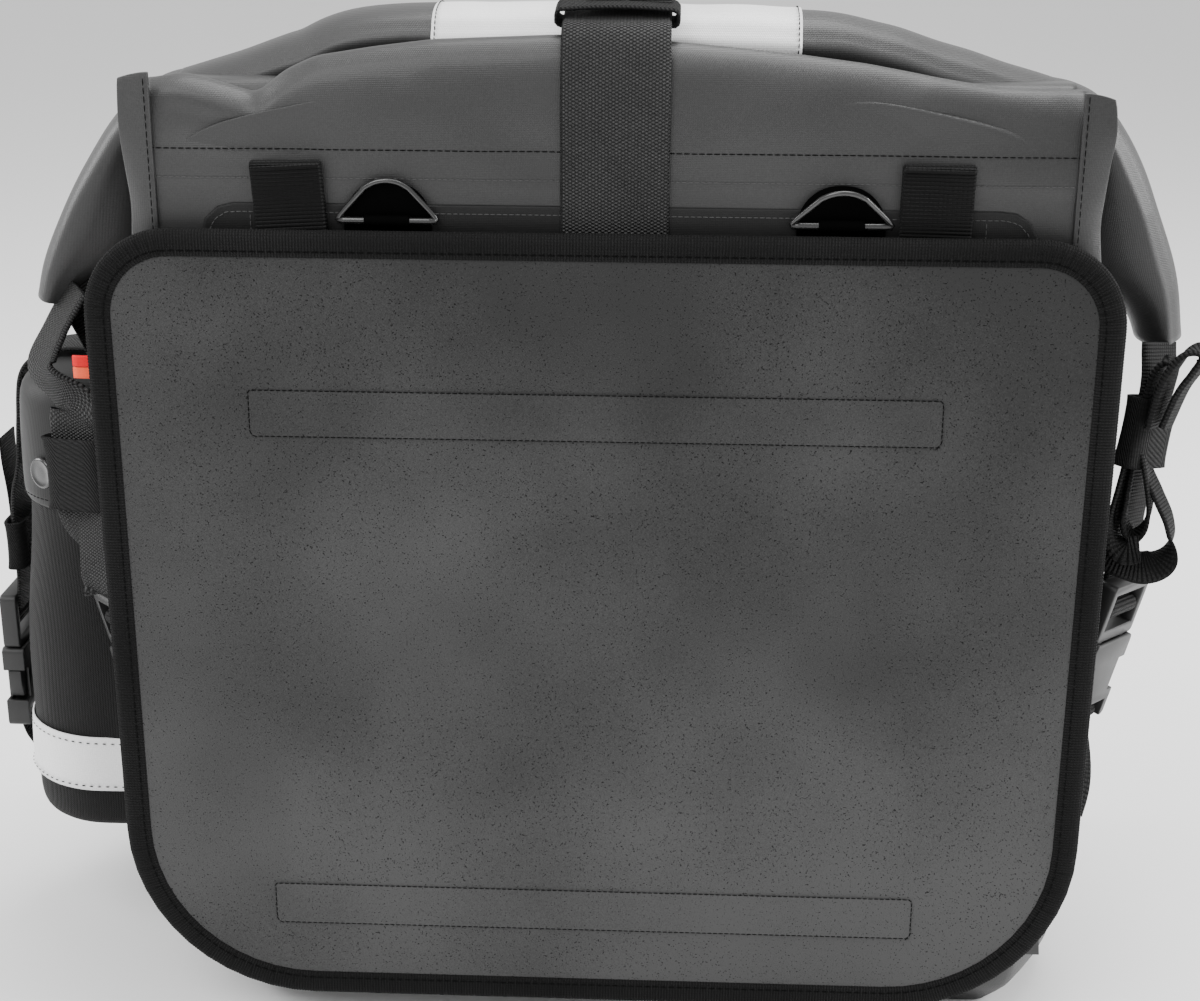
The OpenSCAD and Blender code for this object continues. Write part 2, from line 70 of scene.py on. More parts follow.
def smooth(t: float) -> float:
    """Smooth step of t, held to 0..1."""
    t = min(1.0, max(0.0, t))
    return t * t * (3.0 - 2.0 * t)


def table(rows: Sequence[tuple[float, ...]], at: float) -> list[float]:
    """Values between the rows of a table, eased from one row to the next.

    Args:
        rows: Rows that start with their key, in rising order of key.
        at: The key to look up.

    Returns:
        The values that follow the key, at that key.
    """
    if at <= rows[0][0]:
        return list(rows[0][1:])
    for low, high in zip(rows, rows[1:]):
        if at <= high[0]:
            t = (at - low[0]) / (high[0] - low[0])
            return [a + (b - a) * t for a, b in zip(low[1:], high[1:])]
    return list(rows[-1][1:])


def bump(x: float, centre: float, reach: float) -> float:
    """A bell that is 1 at the centre and falls to almost 0 at twice the reach."""
    return math.exp(-((x - centre) / reach) ** 2)


def rounded(points: Iterable[Vector], steps: int = 6) -> Path:
    """A smooth open path through given points.

    Args:
        points: The points that the path passes through.
        steps: Pieces between two neighbouring points.

    Returns:
        The points of a Catmull-Rom curve through them.
    """
    pts = list(points)
    full = [pts[0] * 2 - pts[1]] + pts + [pts[-1] * 2 - pts[-2]]
    out: Path = []
    for a, b, c, d in zip(full, full[1:], full[2:], full[3:]):
        for i in range(steps):
            t = i / steps
            out.append(0.5 * (2 * b + (c - a) * t + (2 * a - 5 * b + 4 * c - d) * t * t
                              + (3 * b - a - 3 * c + d) * t ** 3))
    out.append(pts[-1].copy())
    return out


def spaced(path: Path, step: float) -> Path:
    """The same path with its points an even step apart, ends kept.

    Args:
        path: The points to follow.
        step: Distance between new points, fitted to the path's length.

    Returns:
        The new points.
    """
    total = sum((b - a).length for a, b in zip(path, path[1:]))
    count = max(2, round(total / step))
    out, want, run = [path[0].copy()], total / count, 0.0
    for a, b in zip(path, path[1:]):
        piece = (b - a).length
        while piece > 0 and run + piece >= want * len(out) - 1e-9 and len(out) < count:
            out.append(a.lerp(b, (want * len(out) - run) / piece))
        run += piece
    out.append(path[-1].copy())
    return out


def arc_points(cx: float, cz: float, r: float, start: float, end: float, count: int) -> list[tuple]:
    """Points of an arc about (cx, cz), from one angle to another in degrees."""
    turns = [math.radians(start + (end - start) * i / count) for i in range(count + 1)]
    return [(cx + r * math.cos(a), cz + r * math.sin(a)) for a in turns]


# ---- meshes ---------------------------------------------------------------------------------


def link(name: str, data: bpy.types.ID) -> bpy.types.Object:
    """A new object with this data, linked to the scene at the origin."""
    thing = bpy.data.objects.new(name, data)
    bpy.context.scene.collection.objects.link(thing)
    return thing


def make_object(name: str, verts: list, faces: list, uvs: list | None = None) -> bpy.types.Object:
    """A mesh object at the origin, with smooth faces and an optional UV map.

    Args:
        name: Name of the piece.
        verts: Places of the vertices in metres.
        faces: Vertex indices of each face, turned outwards.
        uvs: One (u, v) in metres for each face corner, face by face.

    Returns:
        The new object, linked to the scene.
    """
    mesh = bpy.data.meshes.new(name)
    mesh.from_pydata([tuple(v) for v in verts], [], faces)
    if uvs is not None:
        layer = mesh.uv_layers.new(name="lay")
        for corner, uv in zip(layer.data, uvs):
            corner.uv = uv
    mesh.shade_smooth()
    return link(name, mesh)


def loft(name: str, rings: list[list], closed: bool = True, caps: bool = True,
         lay: Callable[[int, int], tuple] | None = None) -> bpy.types.Object:
    """A skin over a row of rings that have the same number of points.

    Args:
        name: Name of the piece.
        rings: Points of each ring, in the same order in every ring.
        closed: Whether a ring's last point joins its first.
        caps: Whether the two end rings are closed with a fan.
        lay: Gives the (u, v) of a ring and point number, if the piece has a UV map.

    Returns:
        The new object, with its faces turned outwards.
    """
    size = len(rings[0])
    verts = [p for ring in rings for p in ring]
    faces, uvs = [], []
    for i in range(len(rings) - 1):
        for j in range(size if closed else size - 1):
            k = (j + 1) % size
            faces.append((i * size + j, i * size + k, (i + 1) * size + k, (i + 1) * size + j))
            uvs += [lay(i, j), lay(i, j + 1), lay(i + 1, j + 1), lay(i + 1, j)] if lay else []
    if closed and caps:
        for i, turn in ((0, -1), (len(rings) - 1, 1)):
            middle = sum((Vector(p) for p in rings[i]), Vector()) / size
            verts.append(middle)
            for j in range(size):
                k = (j + 1) % size
                pair = (i * size + j, i * size + k)[::turn]
                faces.append((pair[0], pair[1], len(verts) - 1))
                uvs += [lay(i, j)] * 3 if lay else []
    piece = make_object(name, verts, faces, uvs if lay else None)
    turn_outwards(piece)
    return piece


def turn_outwards(piece: bpy.types.Object) -> None:
    """Turns the faces of a closed piece outwards.

    Args:
        piece: The piece, whose mesh is changed.
    """
    work = bmesh.new()
    work.from_mesh(piece.data)
    bmesh.ops.recalc_face_normals(work, faces=work.faces)
    work.to_mesh(piece.data)
    work.free()
    piece.data.shade_smooth()


def bake(piece: bpy.types.Object) -> bpy.types.Object:
    """Turns a piece and its modifiers into a plain mesh on the same object.

    Args:
        piece: The piece to bake.

    Returns:
        The same piece.
    """
    graph = bpy.context.evaluated_depsgraph_get()
    mesh = bpy.data.meshes.new_from_object(piece.evaluated_get(graph))
    piece.modifiers.clear()
    piece.data = mesh
    return piece


def finish_mesh(piece: bpy.types.Object, thickness: float = 0.0, bevel: float = 0.0,
                subdivide: int = 0) -> bpy.types.Object:
    """Gives a piece its wall, rounded edges and smoothness, and bakes them.

    Args:
        piece: The piece to work on.
        thickness: Wall added behind the faces, or 0 for none.
        bevel: Width of the rounding on sharp edges, or 0 for none.
        subdivide: Levels of subdivision.

    Returns:
        The same piece.
    """
    if thickness:
        wall = piece.modifiers.new("wall", "SOLIDIFY")
        wall.thickness, wall.offset = thickness, -1.0
    if bevel:
        edge = piece.modifiers.new("edge", "BEVEL")
        edge.width, edge.segments, edge.limit_method = bevel, 2, "ANGLE"
        edge.angle_limit, edge.harden_normals = ROUNDED_EDGE, False
    if subdivide:
        soft = piece.modifiers.new("soft", "SUBSURF")
        soft.levels = soft.render_levels = subdivide
    return bake(piece)


def grid_sheet(name: str, columns: int, rows: int, place: Callable[[float, float], Vector],
               thickness: float, size: tuple[float, float]) -> bpy.types.Object:
    """A sheet with a wall, from a function of its two running values.

    Args:
        name: Name of the piece.
        columns: Cells along the first value.
        rows: Cells along the second value.
        place: Gives the place at (s, t), both 0..1.
        thickness: Thickness of the sheet, laid behind its face.
        size: The sheet's two lengths, for its UV map.

    Returns:
        The new object.
    """
    rings = [[place(i / columns, j / rows) for j in range(rows + 1)] for i in range(columns + 1)]
    piece = loft(name, rings, closed=False,
                 lay=lambda i, j: (size[0] * i / columns, size[1] * j / rows))
    return finish_mesh(piece, thickness=thickness)


def ribbon(name: str, path: Path, width: float, thickness: float, across: Sequence[Vector],
           bow: float = 0.0, columns: int = 6) -> bpy.types.Object:
    """A flat band with rounded edges that follows a path.

    Args:
        name: Name of the piece.
        path: Middle line of the band.
        width: Width of the band.
        thickness: Thickness of the band.
        across: Direction of the width, one for each path point.
        bow: How far the band's middle stands proud of its edges.
        columns: Cells across each face of the band.

    Returns:
        The new object, with u along the band and v across it, in metres.
    """
    half, edge = width / 2, thickness / 2
    section = [(-half + edge + (width - 2 * edge) * j / columns, 1.0) for j in range(columns + 1)]
    section += [(half, 0.0)] + [(v, -1.0) for v, _ in reversed(section)] + [(-half, 0.0)]
    rings, run, lengths = [], 0.0, []
    for i, p in enumerate(path):
        ahead = (path[min(i + 1, len(path) - 1)] - path[max(i - 1, 0)]).normalized()
        side = (across[i] - ahead * across[i].dot(ahead)).normalized()
        up = side.cross(ahead)
        run += (p - path[i - 1]).length if i else 0.0
        lengths.append(run)
        rings.append([p + side * v + up * (edge * w + bow * (1 - (v / half) ** 2))
                      for v, w in section])
    count = len(section)
    return loft(name, rings,
                lay=lambda i, j: (lengths[i], section[j % count][0] + (width if j == count else 0)))


def tube(name: str, path: Path, radius: float, sides: int) -> bpy.types.Object:
    """A rod that follows a path.

    Args:
        name: Name of the piece.
        path: Middle line of the rod.
        radius: Radius of the rod.
        sides: Number of sides.

    Returns:
        The new object.
    """
    rings = []
    for i, p in enumerate(path):
        way = (path[min(i + 1, len(path) - 1)] - path[max(i - 1, 0)]).normalized()
        side = way.cross(Vector((0, 1, 0)) if abs(way.y) < 0.9 else Vector((0, 0, 1))).normalized()
        up = side.cross(way)
        turns = [2 * math.pi * j / sides for j in range(sides)]
        rings.append([p + side * radius * math.cos(a) + up * radius * math.sin(a) for a in turns])
    return loft(name, rings)


def moulded_copy(node: str, name: str, bevel: float) -> bpy.types.Object:
    """A copy of a moulded node with its edges rounded.

    Args:
        node: The node to copy.
        name: Name of the piece.
        bevel: Width of the rounding.

    Returns:
        The new object, which has the node's shape.
    """
    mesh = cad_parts[node].data.copy()
    mesh.materials.clear()
    work = bmesh.new()
    work.from_mesh(mesh)
    bmesh.ops.remove_doubles(work, verts=work.verts, dist=1e-6)
    bmesh.ops.dissolve_limit(work, angle_limit=math.radians(2), verts=work.verts, edges=work.edges)
    work.to_mesh(mesh)
    work.free()
    piece = finish_mesh(link(name, mesh), bevel=bevel)
    piece.data.shade_smooth()
    piece.data.set_sharp_from_angle(angle=SHARP_EDGE)
    return piece


# ---- finishes -------------------------------------------------------------------------------


TONE_SPAN = (0.45, 0.88)     # sum of patches and grain at a finish's dark and light shades
TOP_SHADE_SPAN = (60.0, 310.0)    # heights in mm over which the painted top shade grows
FLECK_SHADE = 0.12           # shade of a fleck, as a share of the dark shade
GAP_SHADOW = 0.15             # tone of the painted shade in a gap between yarns, as a share of the dark shade


class Cover(Enum):
    """Where a finish reads its pattern from."""

    OBJECT = "Object"
    LAY = "UV"


def group_tree(name: str, inputs: dict[str, float], outputs: Sequence[str]) -> bpy.types.NodeTree:
    """An empty shader group with a Vector input, number inputs and number outputs.

    Args:
        name: Name of the group.
        inputs: Name and default of each number input.
        outputs: Names of the number outputs.

    Returns:
        The new group.
    """
    tree = bpy.data.node_groups.new(name, "ShaderNodeTree")
    tree.interface.new_socket("Vector", in_out="INPUT", socket_type="NodeSocketVector")
    for label, value in inputs.items():
        socket = tree.interface.new_socket(label, in_out="INPUT", socket_type="NodeSocketFloat")
        socket.default_value = value
    for label in outputs:
        tree.interface.new_socket(label, in_out="OUTPUT", socket_type="NodeSocketFloat")
    return tree


class Nodes:
    """A short way to place and join the nodes of one tree."""

    def __init__(self, tree: bpy.types.NodeTree) -> None:
        """Keeps the tree that the nodes go into."""
        self.tree = tree

    def add(self, kind: str, **settings: object) -> bpy.types.Node:
        """Adds a node of a kind, with its settings.

        Args:
            kind: The node's type.
            settings: Its properties and their values.

        Returns:
            The new node.
        """
        node = self.tree.nodes.new(kind)
        for label, value in settings.items():
            setattr(node, label, value)
        return node

    def join(self, source: object, target: object) -> None:
        """Joins an output to an input, or sets the input if the source is a number.

        Args:
            source: An output socket, a number or a colour.
            target: The input socket.
        """
        if isinstance(source, (int, float, tuple)):
            target.default_value = source
        else:
            self.tree.links.new(source, target)

    def math(self, operation: str, a: object, b: object = 0.0) -> object:
        """The result of a Math node on two values.

        Args:
            operation: What the node does.
            a: Its first value.
            b: Its second value.

        Returns:
            The node's output socket.
        """
        node = self.add("ShaderNodeMath", operation=operation)
        self.join(a, node.inputs[0])
        self.join(b, node.inputs[1])
        return node.outputs[0]

    def span(self, value: object, low: float, high: float, to_low: float, to_high: float) -> object:
        """A value moved from one range to another, held to its ends.

        Args:
            value: The value to move.
            low: Start of its range.
            high: End of its range.
            to_low: Start of the new range.
            to_high: End of the new range.

        Returns:
            The node's output socket.
        """
        node = self.add("ShaderNodeMapRange", clamp=True)
        for socket, number in zip(node.inputs, (value, low, high, to_low, to_high)):
            self.join(number, socket)
        return node.outputs[0]

    def mix(self, factor: object, a: object, b: object) -> object:
        """A colour between two colours.

        Args:
            factor: 0 for the first colour, 1 for the second.
            a: The first colour.
            b: The second colour.

        Returns:
            The node's output socket.
        """
        node = self.add("ShaderNodeMix", data_type="RGBA")
        self.join(factor, node.inputs[0])
        self.join(a, node.inputs[6])
        self.join(b, node.inputs[7])
        return node.outputs[2]

    def noise(self, vector: object, scale: object, detail: float) -> object:
        """A noise value at a place.

        Args:
            vector: The place.
            scale: How fine the noise is.
            detail: How rough it is.

        Returns:
            The node's output socket.
        """
        node = self.add("ShaderNodeTexNoise")
        node.inputs["Detail"].default_value = detail
        self.join(vector, node.inputs["Vector"])
        self.join(scale, node.inputs["Scale"])
        return node.outputs["Fac"]

    def wave(self, value: object, pitch: object, shift: object = 0.0) -> object:
        """A ridge from 0 to 1 that repeats at a pitch along a value.

        Args:
            value: The value to follow.
            pitch: Length of one ridge.
            shift: A start, in ridges.

        Returns:
            The height's output socket.
        """
        turns = self.math("ADD", self.math("DIVIDE", value, pitch), shift)
        angle = self.math("MULTIPLY", turns, 2 * math.pi)
        return self.math("MULTIPLY", self.math("SUBTRACT", 1.0, self.math("COSINE", angle)), 0.5)


class SharedGroups:
    """The shader groups that several finishes place, each built once."""

    def __init__(self) -> None:
        """Builds every group."""
        self.webbing = self._webbing()
        self.weave = self._weave()
        self.mottle = self._mottle()

    @staticmethod
    def _webbing() -> bpy.types.NodeTree:
        """Ribs across a band with yarns along it: Height, and Gap, the mask of the painted shade
        between the ribs.

        Returns:
            The new group.
        """
        tree = group_tree("webbing_ribs", {"Pitch": 1.33, "Yarn": 1.0, "Slant": 0.0, "Stagger": 0.5},
                          ("Height", "Gap"))
        n = Nodes(tree)
        source = n.add("NodeGroupInput")
        parts = n.add("ShaderNodeSeparateXYZ")
        n.join(source.outputs["Vector"], parts.inputs[0])
        along, across = parts.outputs[0], parts.outputs[1]
        leaned = n.math("ADD", along, n.math("MULTIPLY", across, source.outputs["Slant"]))
        column = n.math("FLOOR", n.math("DIVIDE", across, source.outputs["Yarn"]))
        shift = n.math("MULTIPLY", n.math("MODULO", column, 2.0), source.outputs["Stagger"])
        rib = n.wave(leaned, source.outputs["Pitch"], shift)
        yarn = n.wave(across, source.outputs["Yarn"])
        fuzz = n.noise(source.outputs["Vector"], 2.5, 2.0)
        height = n.math("MULTIPLY", n.math("POWER", rib, 0.6), n.span(yarn, 0.0, 0.5, 0.55, 1.0))
        height = n.math("ADD", height, n.math("MULTIPLY", fuzz, 0.22))
        sink = n.add("NodeGroupOutput")
        n.join(height, sink.inputs["Height"])
        n.join(n.span(height, 0.1, 0.95, 1.0, 0.0), sink.inputs["Gap"])
        return tree

    @staticmethod
    def _weave() -> bpy.types.NodeTree:
        """A plain or a diagonal cloth: Height, and Gap, the mask of the painted shade between its
        yarns.

        Returns:
            The new group.
        """
        tree = group_tree("cloth_weave", {"Pitch": 0.6, "Twill": 0.0}, ("Height", "Gap"))
        n = Nodes(tree)
        source = n.add("NodeGroupInput")
        parts = n.add("ShaderNodeSeparateXYZ")
        n.join(source.outputs["Vector"], parts.inputs[0])
        flat = n.math("ADD", parts.outputs[0], n.math("MULTIPLY", parts.outputs[1], 0.7))
        up = n.math("ADD", parts.outputs[2], n.math("MULTIPLY", flat, source.outputs["Twill"]))
        pitch = source.outputs["Pitch"]
        yarns = n.math("MULTIPLY", n.wave(flat, pitch), n.wave(up, pitch))
        height = n.math("POWER", yarns, 0.5)
        sink = n.add("NodeGroupOutput")
        n.join(height, sink.inputs["Height"])
        n.join(n.span(height, 0.1, 0.8, 1.0, 0.0), sink.inputs["Gap"])
        return tree

    @staticmethod
    def _mottle() -> bpy.types.NodeTree:
        """Soft patches, fine grain and small dark flecks, each a value of its own.

        Returns:
            The new group.
        """
        tree = group_tree("mottle", {"Patch": 0.02, "Grain": 1.2, "Fleck": 0.5},
                          ("Patches", "Grain", "Flecks"))
        n = Nodes(tree)
        source = n.add("NodeGroupInput")
        place = source.outputs["Vector"]
        flecks = n.noise(place, source.outputs["Fleck"], 1.0)
        sink = n.add("NodeGroupOutput")
        n.join(n.noise(place, source.outputs["Patch"], 3.0), sink.inputs["Patches"])
        n.join(n.noise(place, source.outputs["Grain"], 3.0), sink.inputs["Grain"])
        n.join(n.span(flecks, 0.66, 0.74, 0.0, 1.0), sink.inputs["Flecks"])
        return tree


@dataclass(frozen=True)
class Finish:
    """One finish of the bag, as its plain sizes and shades.

    Attributes:
        name: Name of its material.
        slot: Name of the slot for its pieces; not used.
        dark: Linear (r, g, b) of its darkest patches.
        light: Linear (r, g, b) of its lightest patches.
        rough: Its middle roughness.
        cover: Where its weave reads its place.
        group: The shared group that makes its weave, or nothing.
        settings: The group's inputs, with pitches in millimetres.
        relief: Depth of its bumps in millimetres.
        patch: How fine its patches are.
        grain: How fine its grain is.
        fleck: How dark its flecks are, from 0 to 1.
        fleck_scale: How fine its flecks are.
        coat: Weight of its clear coat.
        gap_shadow: How dark the painted shade in the gaps of its weave is, from 0 to 1.
        gloss: Level of its mirror reflection.
        top_shade: Painted shade: how much darker its head is painted than its foot.
    """

    name: str
    slot: str
    dark: tuple[float, float, float]
    light: tuple[float, float, float]
    rough: float
    cover: Cover = Cover.OBJECT
    group: str = ""
    settings: tuple[tuple[str, float], ...] = ()
    relief: float = 0.2
    patch: float = 0.012
    grain: float = 1.5
    fleck: float = 0.0
    fleck_scale: float = 0.9
    coat: float = 0.0
    gap_shadow: float = 0.5
    gloss: float = 0.25
    top_shade: float = 0.0

    def build(self, groups: SharedGroups) -> bpy.types.Material:
        """Makes the finish's material.

        Args:
            groups: The shared shader groups.

        Returns:
            The new material.
        """
        material = bpy.data.materials.new(self.name)
        material.use_nodes = True
        n = Nodes(material.node_tree)
        shader = material.node_tree.nodes["Principled BSDF"]
        coords = n.add("ShaderNodeTexCoord")
        scale = n.add("ShaderNodeMapping")
        scale.inputs["Scale"].default_value = (1 / MM,) * 3
        n.join(coords.outputs["Object"], scale.inputs["Vector"])
        place = scale.outputs[0]
        mottle = n.add("ShaderNodeGroup", node_tree=groups.mottle)
        n.join(place, mottle.inputs["Vector"])
        for label, value in (("Patch", self.patch), ("Grain", self.grain),
                             ("Fleck", self.fleck_scale)):
            mottle.inputs[label].default_value = value
        tone = n.math("ADD", n.math("MULTIPLY", mottle.outputs["Patches"], 0.8),
                      n.math("MULTIPLY", mottle.outputs["Grain"], 0.5))
        # painted shade: the tone grows darker towards the top of the piece, standing in for light that
        # falls off there
        if self.top_shade:
            parts = n.add("ShaderNodeSeparateXYZ")
            n.join(place, parts.inputs[0])
            tone = n.math("ADD", tone, n.span(parts.outputs[2], *TOP_SHADE_SPAN, self.top_shade, -self.top_shade))
        colour = n.mix(n.span(tone, *TONE_SPAN, 0.0, 1.0), self.dark + (1.0,), self.light + (1.0,))
        height = n.math("MULTIPLY", mottle.outputs["Grain"], 0.3)
        if self.fleck:
            amount = n.math("MULTIPLY", mottle.outputs["Flecks"], self.fleck)
            colour = n.mix(amount, colour, tuple(v * FLECK_SHADE for v in self.dark) + (1.0,))
            height = n.math("SUBTRACT", height, n.math("MULTIPLY", amount, 0.8))
        if self.group:
            cloth = n.add("ShaderNodeGroup", node_tree=getattr(groups, self.group))
            for label, value in self.settings:
                cloth.inputs[label].default_value = value
            if self.cover is Cover.LAY:
                lay = n.add("ShaderNodeMapping")
                lay.inputs["Scale"].default_value = (1 / MM, 1 / MM, 1.0)
                n.join(coords.outputs["UV"], lay.inputs["Vector"])
                place = lay.outputs[0]
            n.join(place, cloth.inputs["Vector"])
            # painted shade: the gaps between yarns are darkened where shade would fall in them
            gap = n.math("MULTIPLY", cloth.outputs["Gap"], self.gap_shadow)
            colour = n.mix(gap, colour, tuple(v * GAP_SHADOW for v in self.dark) + (1.0,))
            height = n.math("ADD", height, cloth.outputs["Height"])
        n.join(colour, shader.inputs["Base Color"])
        rough = n.span(mottle.outputs["Patches"], 0.3, 0.7, self.rough - 0.05, self.rough + 0.06)
        n.join(rough, shader.inputs["Roughness"])
        relief = n.add("ShaderNodeBump")
        relief.inputs["Strength"].default_value = 1.0
        relief.inputs["Distance"].default_value = self.relief * MM
        n.join(height, relief.inputs["Height"])
        n.join(relief.outputs[0], shader.inputs["Normal"])
        for label, value in (("Coat Weight", self.coat), ("Specular IOR Level", self.gloss)):
            shader.inputs[label].default_value = value
        return material


def grey(value: float) -> tuple[float, float, float]:
    """A linear grey from a screen shade of 0..255."""
    return ((value / 255) ** 2.2,) * 3


NARROW = (("Pitch", 1.33), ("Yarn", 1.6), ("Slant", 0.0), ("Stagger", 0.0))
BASKET = (("Pitch", 1.25), ("Yarn", 1.15), ("Slant", 0.0), ("Stagger", 0.5))
BOUND = (("Pitch", 1.11), ("Yarn", 1.1), ("Slant", 0.0), ("Stagger", 0.0))
SLEEVE = (("Pitch", 1.5), ("Yarn", 2.0), ("Slant", 0.8), ("Stagger", 0.0))

FINISHES = (
    Finish("coated_cloth", "coated_fabric", grey(40), grey(58), 0.42, group="weave",
           settings=(("Pitch", 0.62),), relief=0.05, gap_shadow=0.14, patch=0.008, coat=0.05, gloss=0.45),
    Finish("patch_cloth", "coated_fabric", grey(26), grey(36), 0.5, group="weave",
           settings=(("Pitch", 0.62),), relief=0.05, gap_shadow=0.14, patch=0.01),
    # the felt is painted darker towards its top: painted shade
    Finish("heat_felt", "felt", grey(52), grey(78), 0.95, relief=0.4, patch=0.009, grain=2.2,
           fleck=0.85, fleck_scale=1.5, gloss=0.12, top_shade=0.15),
    Finish("bound_tape", "grosgrain", grey(18), grey(40), 0.85, cover=Cover.LAY, group="webbing",
           settings=BOUND, relief=0.6, gap_shadow=0.9, gloss=0.2),
    Finish("wide_webbing", "webbing", grey(36), grey(92), 0.7, cover=Cover.LAY, group="webbing",
           settings=BASKET, relief=1.1, gap_shadow=1.0, gloss=0.2),
    Finish("ribbed_webbing", "webbing", grey(22), grey(50), 0.75, cover=Cover.LAY, group="webbing",
           settings=NARROW, relief=0.9, gap_shadow=0.95, gloss=0.2),
    Finish("elastic_sleeve", "webbing", grey(22), grey(48), 0.8, cover=Cover.LAY, group="webbing",
           settings=SLEEVE, relief=0.8, gap_shadow=0.9, gloss=0.2),
    Finish("pocket_cloth", "ballistic", grey(14), grey(32), 0.7, group="weave",
           settings=(("Pitch", 1.05), ("Twill", 1.0)), relief=0.3, gap_shadow=0.6, gloss=0.25),
    Finish("reflective_cloth", "reflective", grey(225), grey(246), 0.35, group="weave",
           settings=(("Pitch", 0.8),), relief=0.05, gap_shadow=0.06, gloss=0.5),
    Finish("moulded_black", "moulded", grey(30), grey(40), 0.45, relief=0.04, grain=3.0, patch=0.03,
           gloss=0.45),
    Finish("ring_plastic", "moulded", grey(24), grey(38), 0.25, relief=0.03, grain=2.5, coat=0.4,
           gloss=0.6),
    Finish("soft_rubber", "rubber", grey(3), grey(7), 0.8, relief=0.06, gloss=0.04),
    Finish("dark_thread", "webbing", grey(8), grey(14), 0.8, relief=0.05, grain=4.0, gloss=0.1),
    Finish("light_thread", "coated_fabric", grey(66), grey(84), 0.8, relief=0.05, grain=4.0),
    Finish("red_tag", "tag_red", (0.62, 0.006, 0.01), (0.8, 0.012, 0.016), 0.7, relief=0.1),
    Finish("orange_tag", "tag_orange", (0.8, 0.09, 0.035), (0.92, 0.13, 0.05), 0.7, relief=0.1),
    Finish("pressed_board", "board", grey(170), grey(200), 0.8, relief=0.1),
)


class Wardrobe:
    """Every finish of the bag, and the ways that pieces are dressed and placed on bodies."""

    def __init__(self) -> None:
        """Builds the shared groups and every finish."""
        groups = SharedGroups()
        self.finishes = {f.name: f for f in FINISHES}
        self.materials = {f.name: f.build(groups) for f in FINISHES}

    def paint(self, piece: bpy.types.Object, finish: str) -> None:
        """Gives a mesh one material."""
        piece.data.materials.clear()
        piece.data.materials.append(self.materials[finish])

    def dress(self, piece: bpy.types.Object, finish: str, body: str = "bag",
              stands_for: Sequence[str] = ()) -> None:
        """Gives a piece its finish, its body and the nodes that it stands for.

        Args:
            piece: The finished piece.
            finish: Name of its finish.
            body: The body that it rides on.
            stands_for: The nodes that it replaces.
        """
        self.paint(piece, finish)
        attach(piece, body)
        if stands_for:
            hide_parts(*stands_for)
        log.info("%s on %s, %d faces", piece.name, body, len(piece.data.polygons))

    def keep(self, node: str, finish: str) -> None:
        """Gives a node that stays visible its finish."""
        self.paint(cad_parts[node], finish)


# ---- what repeats along a line --------------------------------------------------------------


class Bead(Enum):
    """The shape that is repeated along a line."""

    STITCH = "GeometryNodeMeshUVSphere"
    RIB = "GeometryNodeMeshCylinder"


